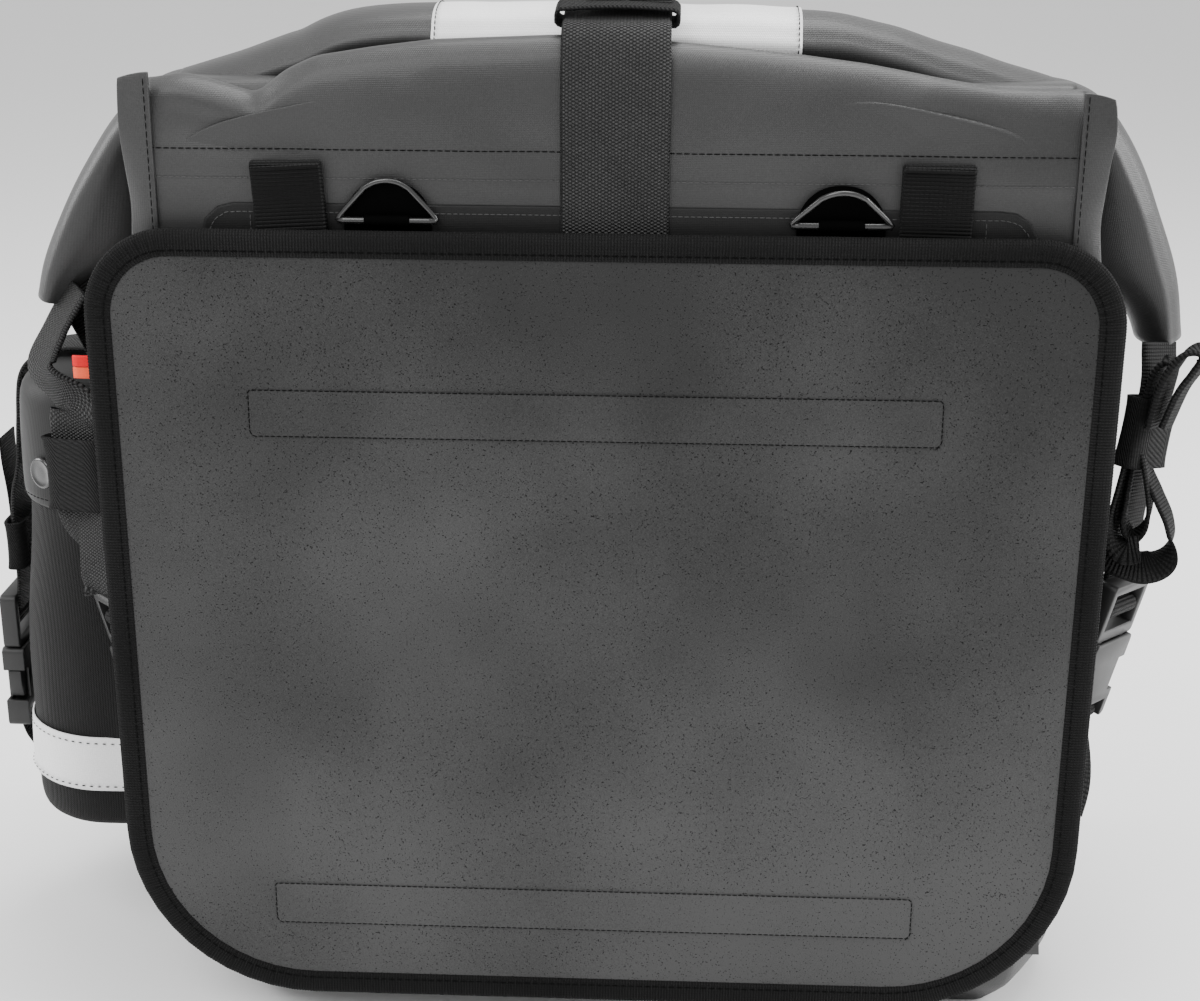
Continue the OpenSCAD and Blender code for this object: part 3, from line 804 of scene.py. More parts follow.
class Repeater:
    """Lays stitches or ribs along lines with Geometry Nodes."""

    def __init__(self, wardrobe: Wardrobe) -> None:
        """Builds a tree for each bead."""
        self.wardrobe = wardrobe
        self.trees = {bead: self._tree(bead) for bead in Bead}

    @staticmethod
    def _tree(bead: Bead) -> bpy.types.NodeTree:
        """A tree that turns line meshes into evenly spaced beads.

        Args:
            bead: The shape to lay.

        Returns:
            The new tree.
        """
        tree = bpy.data.node_groups.new(f"lay_{bead.name.lower()}", "GeometryNodeTree")
        for label, kind in (("Geometry", "Geometry"), ("Pitch", "Float"), ("Size", "Vector"),
                            ("Across", "Vector"), ("Material", "Material")):
            tree.interface.new_socket(label, in_out="INPUT", socket_type=f"NodeSocket{kind}")
        tree.interface.new_socket("Geometry", in_out="OUTPUT", socket_type="NodeSocketGeometry")
        n = Nodes(tree)
        source, sink = n.add("NodeGroupInput"), n.add("NodeGroupOutput")
        curve = n.add("GeometryNodeMeshToCurve")
        even = n.add("GeometryNodeResampleCurve", mode="LENGTH")
        shape = n.add(bead.value)
        shape.inputs["Vertices" if bead is Bead.RIB else "Segments"].default_value = 8
        shape.inputs["Radius"].default_value = 0.5
        if bead is Bead.STITCH:
            shape.inputs["Rings"].default_value = 5
        else:
            shape.inputs["Depth"].default_value = 1.0
        turned = n.add("GeometryNodeTransform")
        turned.inputs["Rotation"].default_value = (math.pi / 2, 0, 0)
        along = n.add("FunctionNodeAlignEulerToVector", axis="X")
        over = n.add("FunctionNodeAlignEulerToVector", axis="Y", pivot_axis="X")
        lay = n.add("GeometryNodeInstanceOnPoints")
        real = n.add("GeometryNodeRealizeInstances")
        paint = n.add("GeometryNodeSetMaterial")
        soft = n.add("GeometryNodeSetShadeSmooth")
        n.join(source.outputs["Geometry"], curve.inputs["Mesh"])
        n.join(curve.outputs[0], even.inputs["Curve"])
        n.join(source.outputs["Pitch"], even.inputs["Length"])
        n.join(n.add("GeometryNodeInputTangent").outputs[0], along.inputs["Vector"])
        n.join(along.outputs[0], over.inputs["Rotation"])
        n.join(source.outputs["Across"], over.inputs["Vector"])
        n.join(shape.outputs["Mesh"], turned.inputs["Geometry"])
        n.join(even.outputs[0], lay.inputs["Points"])
        n.join(turned.outputs[0], lay.inputs["Instance"])
        n.join(over.outputs[0], lay.inputs["Rotation"])
        n.join(source.outputs["Size"], lay.inputs["Scale"])
        n.join(lay.outputs[0], real.inputs[0])
        n.join(real.outputs[0], soft.inputs[0])
        n.join(soft.outputs[0], paint.inputs["Geometry"])
        n.join(source.outputs["Material"], paint.inputs["Material"])
        n.join(paint.outputs[0], sink.inputs["Geometry"])
        return tree

    def lay(self, name: str, lines: list[Path], finish: str, pitch: float,
            size: tuple[float, float, float], across: tuple[float, float, float] = (0, 1, 0),
            bead: Bead = Bead.STITCH) -> None:
        """Lays beads along lines and bakes them into one piece.

        Args:
            name: Name of the piece.
            lines: The lines to follow.
            finish: Name of the beads' finish.
            pitch: Distance between beads, in millimetres.
            size: A bead's length along the line, width across it and height, in millimetres.
            across: Direction of a bead's width.
            bead: The shape to repeat.
        """
        verts, edges = [], []
        for line in lines:
            first = len(verts)
            verts += [tuple(p) for p in line]
            edges += [(i, i + 1) for i in range(first, len(verts) - 1)]
        mesh = bpy.data.meshes.new(name)
        mesh.from_pydata(verts, edges, [])
        piece = link(name, mesh)
        tree = self.trees[bead]
        layer = piece.modifiers.new("beads", "NODES")
        layer.node_group = tree
        values = {"Pitch": pitch * MM, "Size": [v * MM for v in size], "Across": list(across),
                  "Material": self.wardrobe.materials[finish]}
        for item in tree.interface.items_tree:
            if item.in_out == "INPUT" and item.name in values:
                layer[item.identifier] = values[item.name]
        bake(piece)
        self.wardrobe.dress(piece, finish)

    def stitch(self, name: str, lines: list[Path], finish: str = "dark_thread",
               across: tuple[float, float, float] = (0, 1, 0), pitch: float = 2.6) -> None:
        """Sews lines of thread with stitches that nearly touch.

        Args:
            name: Name of the piece.
            lines: The seams.
            finish: Name of the thread's finish.
            across: Direction of a stitch's width.
            pitch: Length of a stitch, in millimetres.
        """
        self.lay(name, lines, finish, pitch, (pitch * 0.92, 0.45, 0.42), across)


# ---- bag body -------------------------------------------------------------------------------


def segment_bell(x: float, z: float, a: tuple[float, float], b: tuple[float, float],
                 reach: float) -> float:
    """How near (x, z) is to the line from a to b: 1 on it, falling off over the reach.

    Args:
        x: The place's x.
        z: The place's z.
        a: Start of the line.
        b: End of the line.
        reach: Distance at which the bell has fallen to about a third.

    Returns:
        The bell's value.
    """
    dx, dz = b[0] - a[0], b[1] - a[1]
    t = min(1.0, max(0.0, ((x - a[0]) * dx + (z - a[1]) * dz) / (dx * dx + dz * dz)))
    gap = math.hypot(x - a[0] - t * dx, z - a[1] - t * dz)
    return math.exp(-(gap / reach) ** 2)


@dataclass
class BagBody:
    """The coated-cloth bag: its shell, folded back wall, seams and patches. Sizes in mm."""

    wardrobe: Wardrobe
    repeater: Repeater
    y_back: float = -92.0
    flare_depth: float = 58.0
    seam_x: float = 164.0
    # height, half back wall, half belly and front face of the shell
    levels: tuple = ((0.0, 152, 168, 76), (0.3, 154, 172, 80), (4, 158, 180, 86), (14, 161, 186, 91),
                     (60, 162, 189, 94), (120, 162, 188, 94), (190, 162, 183, 93), (250, 162, 178, 92),
                     (300, 162, 172, 90), (325, 162, 169, 82), (346, 160, 164, 62),
                     (358, 140, 142, 36), (367, 98, 100, 4), (368.5, 80, 82, -8))
    # x and crest height of the folded wall
    crest: tuple = ((-164, 372), (-152, 374), (-143, 372), (-126, 367), (-116, 375), (-105, 380),
                    (-84, 383.4), (-63, 386), (-18, 388), (20, 386), (44, 384), (64, 382), (88, 379),
                    (116, 374), (133, 371.4), (164, 370.5))
    # creases of the back wall: ends, reach and height, in mm
    creases: tuple = (((-160, 371), (-124, 361), 6, 2.2), ((-150, 360), (-112, 352), 9, -1.6),
                      ((-70, 366), (-46, 352), 9, 0.9), ((-50, 356), (-24, 348), 8, -0.8),
                      ((30, 354), (66, 364), 11, 0.9), ((112, 372), (150, 366), 6, 1.3),
                      ((118, 360), (156, 366), 9, -1.4), ((-150, 343), (-122, 350), 8, 0.6),
                      ((122, 346), (154, 338), 9, 0.8))

    def outline(self, back: float, side: float, front: float, z: float) -> Path:
        """The shell's outline at one height, with the same number of points at each.

        Args:
            back: Half width of the back wall.
            side: Half width at the belly.
            front: Depth of the front face.
            z: Height.

        Returns:
            The points, from the left end of the back wall round by the right.
        """
        corner, cells, flare = 34.0, 36, 12
        belly = self.y_back + self.flare_depth
        right = [(back + (side - back) * math.sin(i / flare * math.pi / 2),
                  self.y_back + self.flare_depth * i / flare) for i in range(flare)]
        right += [(side, belly + (front - corner - belly) * i / 8) for i in range(8)]
        right += arc_points(side - corner, front - corner, corner, 0, 90, 9)
        pts = [(-back + 2 * back * i / cells, self.y_back) for i in range(cells)] + right
        pts += [(side - corner - 2 * (side - corner) * i / cells, front) for i in range(1, cells)]
        pts += [(-x, y) for x, y in reversed(right)]
        tuck = 16 * (1 - smooth(z / 22))
        left = 0.93 + 0.07 * smooth(z / 50)
        return [mm(x * (left if x < 0 else 1), y + tuck * smooth(-y / 60), z) for x, y in pts]

    def shell(self) -> None:
        """The closed shell, with soft folds down its gussets and front."""
        heights = [0, 0.3, 2, 4, 9, 14] + list(range(24, 346, 10)) + [346, 352, 358, 363, 367, 368.5]
        rings = [self.outline(*table(self.levels, z), z) for z in heights]
        for p in (p for ring in rings for p in ring):
            self.sag(p)
        piece = finish_mesh(loft("bag_body", rings), subdivide=1)
        self.wardrobe.dress(piece, "coated_cloth", stands_for=("bag_shell",))
        self.shell_seams(piece)

    def shell_seams(self, piece: bpy.types.Object) -> None:
        """The seams of the front and the gussets, pressed onto the shell.

        Args:
            piece: The finished shell.
        """
        skin = BVHTree.FromObject(piece, bpy.context.evaluated_depsgraph_get())

        def press(places: Path, way: Vector) -> Path:
            """The places where rays along a way, sent from afar, first meet the shell."""
            hits = [skin.ray_cast(p - way * 0.4, way) for p in places]
            return [hit[0] - way * 0.15 * MM for hit in hits if hit[0] is not None]

        inward = Vector((0, -1, 0))
        heights = range(26, 336, 4)
        fronts = [press([mm(side * 148, 0, z) for z in heights], inward) for side in (-1, 1)]
        across = [press([mm(x, 0, z) for x in range(-148, 149, 4)], inward) for z in (34, 322, 331)]
        self.repeater.stitch("front_seams", fronts + across)
        gussets = [press([mm(0, y, z) for z in heights], Vector((-side, 0, 0)))
                   for side in (-1, 1) for y in (-60, 44)]
        self.repeater.stitch("gusset_seams", gussets, across=(1, 0, 0))

    def sag(self, p: Vector) -> None:
        """Moves a point of the shell by the cloth's folds.

        Args:
            p: The point, changed in place.
        """
        x, y, z = p / MM
        wall = smooth((y - self.y_back - 6) / 30) * smooth(z / 30) * smooth((356 - z) / 40)
        fold = 1.6 * noise.noise(Vector((x * 0.012, y * 0.03, z * 0.012)))
        drape = 2.2 * math.sin(z * 0.045 + y * 0.06) * bump(z, 300, 60) * smooth((abs(x) - 120) / 40)
        grow = (fold + drape) * wall * MM
        p += Vector((math.copysign(grow, x) * smooth((abs(x) - 110) / 50), grow * smooth(y / 60), 0))

    def wall_face(self, x: float, z: float) -> float:
        """How far the back wall's face stands out at a place, in mm.

        Args:
            x: The place's x.
            z: The place's z.

        Returns:
            The distance, 0 on the flat wall.
        """
        folds = sum(h * segment_bell(x, z, a, b, r) for a, b, r, h in self.creases)
        folds += 0.5 * noise.noise(Vector((x * 0.025, z * 0.04, 2.0)))
        return folds * smooth((z - 326) / 14)

    def fold_row(self, x: float) -> Path:
        """The back wall's line at one x: up the back, over the crest and down to the roll.

        Args:
            x: Place along the width.

        Returns:
            The line's points, the same number at each x.
        """
        crest = rounded_table(self.crest, x)
        up = [(-92.5, 30), (-92.5, 180), (-92.6, 315), (-93.0, 340), (-92.6, crest - 22),
              (-90.8, crest - 9), (-86.0, crest - 2), (-80.5, crest), (-75, crest - 2.4),
              (-70, crest - 8), (-64, 370), (-40, 369)]
        line = rounded([mm(x, y, z) for y, z in up], 10)
        for p in line:
            p.y -= self.wall_face(x, p.z / MM) * MM
        return line

    def back_wall(self) -> None:
        """The back wall, which folds over at its crest and runs under the roll."""
        half, columns = self.seam_x, 164
        rings = [self.fold_row(-half + 2 * half * i / columns) for i in range(columns + 1)]
        piece = finish_mesh(loft("back_wall_fold", rings, closed=False), thickness=0.9 * MM)
        turn_outwards(piece)
        self.wardrobe.dress(piece, "coated_cloth")

    def flange(self, side: int, top: float, name: str, node: str) -> None:
        """One seam flange: a crimped double layer that stands out of the corner seam.

        Args:
            side: -1 for the left one, 1 for the right one.
            top: Height of its top.
            name: Name of the piece.
            node: The node that it replaces.
        """
        low, height = 34.0, top - 34.0

        def place(s: float, t: float) -> Vector:
            """A point of the flange.

            Args:
                s: Share of the way out from the seam.
                t: Share of the way up along it.

            Returns:
                The point.
            """
            z = low + height * t
            x = side * (161.2 + 10.8 * s)
            crimp = 1.1 * s * math.sin(z * 0.11) + 0.8 * s * noise.noise(Vector((s, z * 0.06, side)))
            pull = 3.2 * s * s * bump(z, 318, 34)
            corner = 2.0 * s * s * smooth((t - 0.985) / 0.015)
            return mm(x + side * crimp * 0.5, -94.6 - crimp - 0.6 * s + pull, z - corner)

        piece = grid_sheet(name, 10, 160, place, 2.0 * MM, (10.8 * MM, height * MM))
        turn_outwards(piece)
        finish_mesh(piece, bevel=0.35 * MM)
        self.wardrobe.dress(piece, "coated_cloth", stands_for=(node,))

    def patch(self) -> None:
        """The rounded patch sewn to the wall behind the panel."""
        ring = plate_outline(1.7, 40, 296, 290, 12, 12, 6.0)
        piece = plate_piece("wall_patch", ring, -92.6, -93.7, 0.0)
        self.wardrobe.dress(piece, "patch_cloth", stands_for=("back_patch",))

    def seams(self) -> None:
        """Every seam that shows on the coated cloth."""
        half, count = 162, 60
        xs = [-half + 2 * half * i / count for i in range(count + 1)]
        level, low = ([mm(x, -93.15 - self.wall_face(x, z), z) for x in xs] for z in (349.0, 339.0))
        self.repeater.stitch("wall_seam", [level])
        self.repeater.stitch("wall_topstitch", [low], "light_thread", pitch=2.2)
        flanges = [[mm(side * 162.6, -95.9, z) for z in range(36, top, 3)]
                   for side, top in ((-1, 374), (1, 370))]
        self.repeater.stitch("flange_seams", flanges, pitch=3.0)
        patch = [mm(x, -93.8, z) for x, z in plate_outline(1.7, 43, 290, 284, 9, 9, 5.0)]
        inner = [[mm(x, -93.8, z) for z in range(300, 326, 5)] for x in (-128, 131)]
        self.repeater.stitch("patch_seam", [patch + patch[:1]] + inner, "light_thread", pitch=2.2)

    def build(self) -> None:
        """Builds the whole body."""
        self.shell()
        self.back_wall()
        self.flange(-1, 375.3, "flange_left", "seam_flange_left")
        self.flange(1, 371.2, "flange_right", "seam_flange_right")
        self.patch()
        self.seams()
        for node in ("back_stiffener", "base_stiffener", "mouth_stiffener"):
            self.wardrobe.keep(node, "pressed_board")
        self.wardrobe.keep("base_patch", "patch_cloth")


def rounded_table(rows: Sequence[tuple[float, float]], at: float) -> float:
    """A value of a table of pairs, averaged over its neighbourhood so that it has no corners.

    Args:
        rows: Pairs of a key and a value, in rising order of key.
        at: The key to look up.

    Returns:
        The averaged value.
    """
    reach, count = 7.0, 5
    steps = [at + reach * (i - count // 2) / count for i in range(count)]
    return sum(table(rows, step)[0] for step in steps) / count


def plate_outline(cx: float, low: float, w: float, h: float, r_top: float, r_low: float,
                  step: float) -> list[tuple[float, float]]:
    """Outline of a plate with round corners, as (x, z) points in mm at an even step.

    Args:
        cx: Middle of the plate along X.
        low: Height of its foot.
        w: Its width.
        h: Its height.
        r_top: Radius of its top corners.
        r_low: Radius of its low corners.
        step: Distance between two points.

    Returns:
        The points, from the right low corner upwards.
    """
    x0, x1, top = cx - w / 2, cx + w / 2, low + h
    corners = (arc_points(x1 - r_low, low + r_low, r_low, -90, 0, 12)
               + arc_points(x1 - r_top, top - r_top, r_top, 0, 90, 12)
               + arc_points(x0 + r_top, top - r_top, r_top, 90, 180, 12)
               + arc_points(x0 + r_low, low + r_low, r_low, 180, 270, 12))
    loop = [Vector((x, 0, z)) for x, z in corners]
    return [(p.x, p.z) for p in spaced(loop + loop[:1], step)[:-1]]


def plate_piece(name: str, outline: list[tuple[float, float]], y_wall: float, y_face: float,
                wander: float, rings: int = 14) -> bpy.types.Object:
    """A plate that faces -Y, with a round edge and a face that may wander a little.

    Args:
        name: Name of the piece.
        outline: Its outline as (x, z) in mm.
        y_wall: Its wall side in mm.
        y_face: Its face in mm.
        wander: How far the face may wander, in mm.
        rings: Rings between the edge and the middle.

    Returns:
        The new object.
    """
    cx = sum(x for x, _ in outline) / len(outline)
    cz = sum(z for _, z in outline) / len(outline)

    def ring(share: float, y: float) -> Path:
        """The outline at a depth, shrunk about its middle to a share of its size."""
        shrunk = [(cx + (x - cx) * share, cz + (z - cz) * share) for x, z in outline]
        return [mm(x, y - wander * smooth((1 - share) * 6)
                   * noise.noise(Vector((x * 0.012, z * 0.012, 0.5))), z) for x, z in shrunk]

    edge = 0.3 * (y_wall - y_face)
    stack = [ring(0.02, y_wall), ring(0.6, y_wall), ring(0.997, y_wall), ring(1.0, y_wall - edge),
             ring(1.0, y_face + edge), ring(0.997, y_face)]
    stack += [ring(0.985 * (1 - i / rings) + 0.01, y_face) for i in range(rings + 1)]
    return loft(name, stack)


# ---- roll closure ---------------------------------------------------------------------------


@dataclass
class RollClosure:
    """The rolled mouth, its reflective band and its two ends folded down. Sizes in mm."""

    wardrobe: Wardrobe
    repeater: Repeater
    y: float = -38.0
    half_band: float = 66.5
    sides: int = 44
    # place along the width, height of the middle, half depth and half thickness
    route: tuple = ((-160, 361, 21, 9.0), (-143, 366, 22, 9.2), (-117, 374, 23, 9.8),
                    (-88, 383, 23, 10), (0, 384.2, 23, 10), (68, 382.5, 23, 10),
                    (95, 378.5, 23, 10), (117, 372, 23, 9.8), (139, 366, 22, 9.4), (160, 360, 21, 9))
    left_end: tuple = ((-158, 361.6, 20.5, 9.0), (-166, 360.2, 21, 8.8), (-174, 356, 21.5, 8.4),
                       (-184, 346, 21.5, 8), (-193.5, 332, 21, 8), (-203, 316, 20.5, 8.2),
                       (-211.5, 298, 20, 8.2), (-216.3, 284, 19.5, 7.2))
    right_end: tuple = ((158, 360.6, 20.5, 9.0), (166, 359.2, 21, 8.8), (173, 355.5, 21.5, 8.6),
                        (181, 345, 21.5, 8.8), (188.5, 330, 21, 9), (196.5, 310, 20.5, 9.4),
                        (203, 292, 20, 9.2), (207.2, 274, 19, 8.2))

    def ring(self, rows: Sequence[tuple], i: int, grow: float = 0.0) -> Path:
        """One ring of a roll.

        Args:
            rows: Rows of x, z, half depth and half thickness, along the roll.
            i: The row that the ring stands at.
            grow: How far the ring stands off the roll.

        Returns:
            The ring's points.
        """
        x, z, deep, thick = rows[i]
        ahead = Vector(rows[min(i + 1, len(rows) - 1)][:2]) - Vector(rows[max(i - 1, 0)][:2])
        ahead.normalize()
        out = []
        for j in range(self.sides):
            a = 2 * math.pi * j / self.sides
            lip = 1.0 + 0.05 * smooth(math.sin(a + 0.6) * 2) - 0.05 * bump(a, 2.75, 0.22)
            crease = 0.7 * noise.noise(Vector((x * 0.05, z * 0.04, math.sin(a) * 0.8)))
            inner = math.sin(a) * (-1 if x > 0 else 1) > 0
            spread = 1.0 + (2.2 * bump(z, 318, 22) if inner else 0.0)
            up = (thick * spread + grow) * math.sin(a) * lip + crease
            out.append(mm(x - ahead.y * up, self.y + (deep + grow) * math.cos(a) * lip,
                          z + ahead.x * up))
        return out

    def rolled(self, name: str, rows: Sequence[tuple], steps: int, node: str) -> None:
        """A roll through rows, smoothed between them.

        Args:
            name: Name of the piece.
            rows: Rows of x, z, half depth and half thickness, along the roll.
            steps: Rings between two neighbouring rows.
            node: The node that it replaces.
        """
        line = [tuple(p) for p in rounded([Vector(r) for r in rows], steps)]
        piece = loft(name, [self.ring(line, i) for i in range(len(line))])
        self.wardrobe.dress(piece, "coated_cloth", stands_for=(node,))

    def band(self) -> None:
        """The reflective band, sewn round the middle of the roll."""
        cells, proud, hem = 40, 0.8, 1.2
        xs = [-self.half_band + self.half_band * 2 * i / cells for i in range(cells + 1)]
        rows = [(x, *table(self.route, x)) for x in xs]
        piece = loft("reflective_band", [self.ring(rows, i, proud) for i in range(len(rows))])
        self.wardrobe.dress(piece, "reflective_cloth", stands_for=("roll_band",))
        ends = []
        for x in (-self.half_band + hem, self.half_band - hem):
            ring = self.ring([(at, *table(self.route, at)) for at in (x, x + 1)], 0, proud + 0.3)
            ends.append(ring + ring[:1])
        self.repeater.stitch("band_seams", ends, pitch=2.4)

    def build(self) -> None:
        """Builds the roll, the two ends and the band."""
        self.rolled("rolled_mouth", self.route, 12, "closure_roll")
        self.rolled("rolled_end_left", self.left_end, 8, "ear_left")
        self.rolled("rolled_end_right", self.right_end, 8, "ear_right")
        self.band()


# ---- heat panel -----------------------------------------------------------------------------


@dataclass
class HeatPanel:
    """The felt panel with its bound edge and two sewn strips. Sizes in mm."""

    wardrobe: Wardrobe
    repeater: Repeater
    middle_x: float = -3.6
    low: float = 12.0
    width: float = 370.0
    height: float = 310.0
    r_top: float = 32.0
    r_low: float = 72.0
    strip_x: float = -5.8

    def inset(self, by: float, step: float) -> list[tuple[float, float]]:
        """The panel's outline, moved inwards."""
        return plate_outline(self.middle_x, self.low + by, self.width - 2 * by, self.height - 2 * by,
                             self.r_top - by, self.r_low - by, step)

    def core(self) -> None:
        """The felt, a little uneven."""
        piece = plate_piece("felt_panel", self.inset(1.4, 5.0), -98.4, -101.5, 0.35, 30)
        self.wardrobe.dress(piece, "heat_felt", stands_for=("heat_panel",))

    def binding(self) -> None:
        """The tape folded round the panel's edge."""
        outline = self.inset(0, 0.37)
        count = len(outline)
        # the tape's section: how far in from the edge, and y
        section = ((10.0, -101.0), (9.6, -102.0), (8.2, -102.45), (5.2, -102.75), (2.0, -102.6),
                   (0.5, -101.8), (0.0, -100.2), (0.4, -98.6), (2.0, -97.6), (9.4, -97.3),
                   (10.0, -98.2))
        rings, run, lengths = [], 0.0, []
        for i, (x, z) in enumerate(outline):
            before, after = outline[i - 1], outline[(i + 1) % count]
            way = Vector((after[0] - before[0], after[1] - before[1])).normalized()
            inward = Vector((-way.y, way.x))
            run += math.hypot(x - before[0], z - before[1]) if i else 0.0
            lengths.append(run * MM)
            rib = 0.13 * math.cos(2 * math.pi * run / 1.11)
            ring = []
            for d, y in section:
                inset = d - rib * (d < 9)
                swell = rib * (2 < d < 9) * (1 if y < -100 else -1)
                ring.append(mm(x + inward.x * inset, y - swell, z + inward.y * inset))
            rings.append(ring)
        rings.append(rings[0])
        lengths.append(run * MM + 0.4 * MM)
        # distance across the tape at each point of its section
        across = [0, 1, 2.5, 5.5, 8.7, 10.5, 12.2, 13.9, 15.6, 23, 24, 35]
        piece = loft("binding_tape", rings, caps=False, lay=lambda i, j: (lengths[i], across[j] * MM))
        self.wardrobe.dress(piece, "bound_tape", stands_for=("panel_binding",))
        line = [mm(x, -102.7, z) for x, z in self.inset(7.6, 4.0)]
        self.repeater.stitch("binding_seam", [line + line[:1]], pitch=3.2)

    def strip(self, name: str, node: str, z: float) -> None:
        """One sewn strip with its outline of stitches.

        Args:
            name: Name of the piece.
            node: The node that it replaces.
            z: Height of its middle line.
        """
        long, high, r = 250.0, 17.5, 1.2
        plate, seam = (plate_outline(self.strip_x, z - high / 2 + by, long - 2 * by, high - 2 * by,
                                     r, r, 2.5) for by in (0.0, 0.1))
        piece = plate_piece(name, plate, -101.2, -102.0, 0.2, 6)
        self.wardrobe.dress(piece, "heat_felt", stands_for=(node,))
        line = [mm(x, -102.0, at) for x, at in seam]
        self.repeater.stitch(f"{name}_seam", [line + line[:1]], pitch=2.2)

    def build(self) -> None:
        """Builds the panel."""
        self.core()
        self.binding()
        self.strip("strip_upper", "upper_strip", 255)
        self.strip("strip_lower", "lower_strip", 53)


# ---- webbing on the mounting side -----------------------------------------------------------


@dataclass
class CentreStrap:
    """The wide strap over the roll, with its keeper, its tail and the front anchor. Sizes in mm."""

    wardrobe: Wardrobe
    repeater: Repeater
    x: float = 1.1
    width: float = 38.0
    route: tuple = ((-94.4, 290), (-94.6, 330), (-94.6, 366), (-92.4, 381), (-88, 390), (-80, 392.8),
                    (-66, 395), (-52, 397.5), (-38, 398), (-22, 396.4), (-9, 389.5), (24, 375.5),
                    (50, 364), (69, 347.5), (85, 326.5), (94, 309.5), (94.8, 290), (95, 262))

    def flat(self, name: str, points: Sequence[tuple[float, float]], width: float, finish: str,
             node: str, shift: float = 0.0) -> None:
        """A band whose middle line lies in a YZ plane.

        Args:
            name: Name of the piece.
            points: Its middle line as (y, z).
            width: Its width.
            finish: Name of its finish.
            node: The node that it replaces.
            shift: How far it lies to the right of the strap's middle.
        """
        path = spaced(rounded([mm(self.x + shift, y, z) for y, z in points], 8), 1.6 * MM)
        piece = ribbon(name, path, width * MM, 1.8 * MM, [Vector((1, 0, 0))] * len(path))
        self.wardrobe.dress(piece, finish, stands_for=(node,))

    def build(self) -> None:
        """Builds the strap and what is sewn to it."""
        self.flat("centre_webbing", self.route, self.width, "wide_webbing", "centre_strap")
        self.keeper()
        tail = ((-74, 399.0), (-60, 400.2), (-44, 401.2), (-28, 400.6), (-20, 399.4))
        self.flat("centre_tail", tail, 30, "wide_webbing", "strap_tail", shift=4)
        front = ((101.0, 196.4), (96, 184), (93.4, 170), (93.4, 122))
        self.flat("front_anchor_webbing", front, self.width, "wide_webbing", "front_anchor_strap")
        self.wrap("front_ladder_webbing", LADDER_BAR[0])
        self.wrap("front_socket_webbing", SOCKET_BAR[0])
        box = [mm(self.x + sx * 15, 94.5, z) for sx, z in ((-1, 126), (1, 126), (1, 156), (-1, 156))]
        lines = [spaced(line, 2 * MM) for line in (box + box[:1], box[::2], box[1::2])]
        self.repeater.stitch("front_anchor_seam", lines)

    def wrap(self, name: str, bar: float) -> None:
        """Webbing round one bar of the front buckle.

        Args:
            name: Name of the piece.
            bar: Height of the bar over the buckle's mouth.
        """
        _, y, z = PLACES["front"].mouth
        turns = [math.radians(t) for t in range(0, 361, 24)]
        path = [mm(self.x, y + 2.75 * math.cos(a), z + bar + 1.6 + 3.1 * math.sin(a)) for a in turns]
        piece = ribbon(name, path, self.width * MM, 1.5 * MM, [Vector((1, 0, 0))] * len(path))
        self.wardrobe.dress(piece, "wide_webbing")

    def keeper(self) -> None:
        """The bound loop of webbing that holds the strap's tail where it crosses the fold."""
        half, tilt, centre = 21.3, math.radians(9.5), mm(self.x, -74.15, 394.4)
        flat = half - 1.2
        section = [(-flat + 2 * flat * i / 10, 3.0 + 0.9 * math.sin(math.pi * i / 10))
                   for i in range(11)]
        section += [(half, 1.6), (half, -1.6), (flat, -2.6), (-flat, -2.6), (-half, -1.6),
                    (-half, 1.6)]
        loop = [centre + mm(u, -v * math.sin(tilt), v * math.cos(tilt)) for u, v in section]
        path = spaced(loop + loop[:1], 1.2 * MM)
        way = Vector((0, math.cos(tilt), math.sin(tilt)))
        piece = ribbon("centre_keeper", path, 13.5 * MM, 1.4 * MM, [way] * len(path))
        self.wardrobe.dress(piece, "elastic_sleeve", stands_for=("strap_keeper",))


@dataclass
class HangerLoops:
    """Two folded loops of webbing above the panel. Sizes in mm."""

    wardrobe: Wardrobe
    repeater: Repeater
    width: float = 25.0
    pitch: float = 1.36

    def loop(self, name: str, node: str, x: float, top: float) -> None:
        """One loop: two layers joined by a round fold, with ribs across.

        Args:
            name: Name of the piece.
            node: The node that it replaces.
            x: Its middle.
            top: Height of its fold.
        """
        front, back = -97.3, -94.2
        mid = (front + back) / 2
        line = [(front, 296), (front, top - 5), (front - 0.25, top - 2.2), (mid, top - 0.3),
                (back + 0.1, top - 2.0), (back, top - 5), (back, 296)]
        lean = 1.3 if x < 0 else -0.4
        path = spaced(rounded([mm(x - lean * (z - 322) / 22, y, z) for y, z in line], 8), 1.0 * MM)
        piece = ribbon(name, path, self.width * MM, 1.3 * MM, [Vector((1, 0, 0))] * len(path))
        self.wardrobe.dress(piece, "ribbed_webbing", stands_for=(node,))
        face = [p + mm(0, -0.55, 0) for p in path if p.y < (mid * MM) and p.z < (top - 1.6) * MM
                and p.z > 308 * MM]
        self.repeater.lay(f"{name}_ribs", [face], "bound_tape", self.pitch,
                          (0.95, self.width - 1.2, 0.8), across=(1, 0, 0), bead=Bead.RIB)

    def build(self) -> None:
        """Builds both loops."""
        self.loop("loop_left", "hanger_loop_left", -113, 345.4)
        self.loop("loop_right", "hanger_loop_right", 113, 346.4)


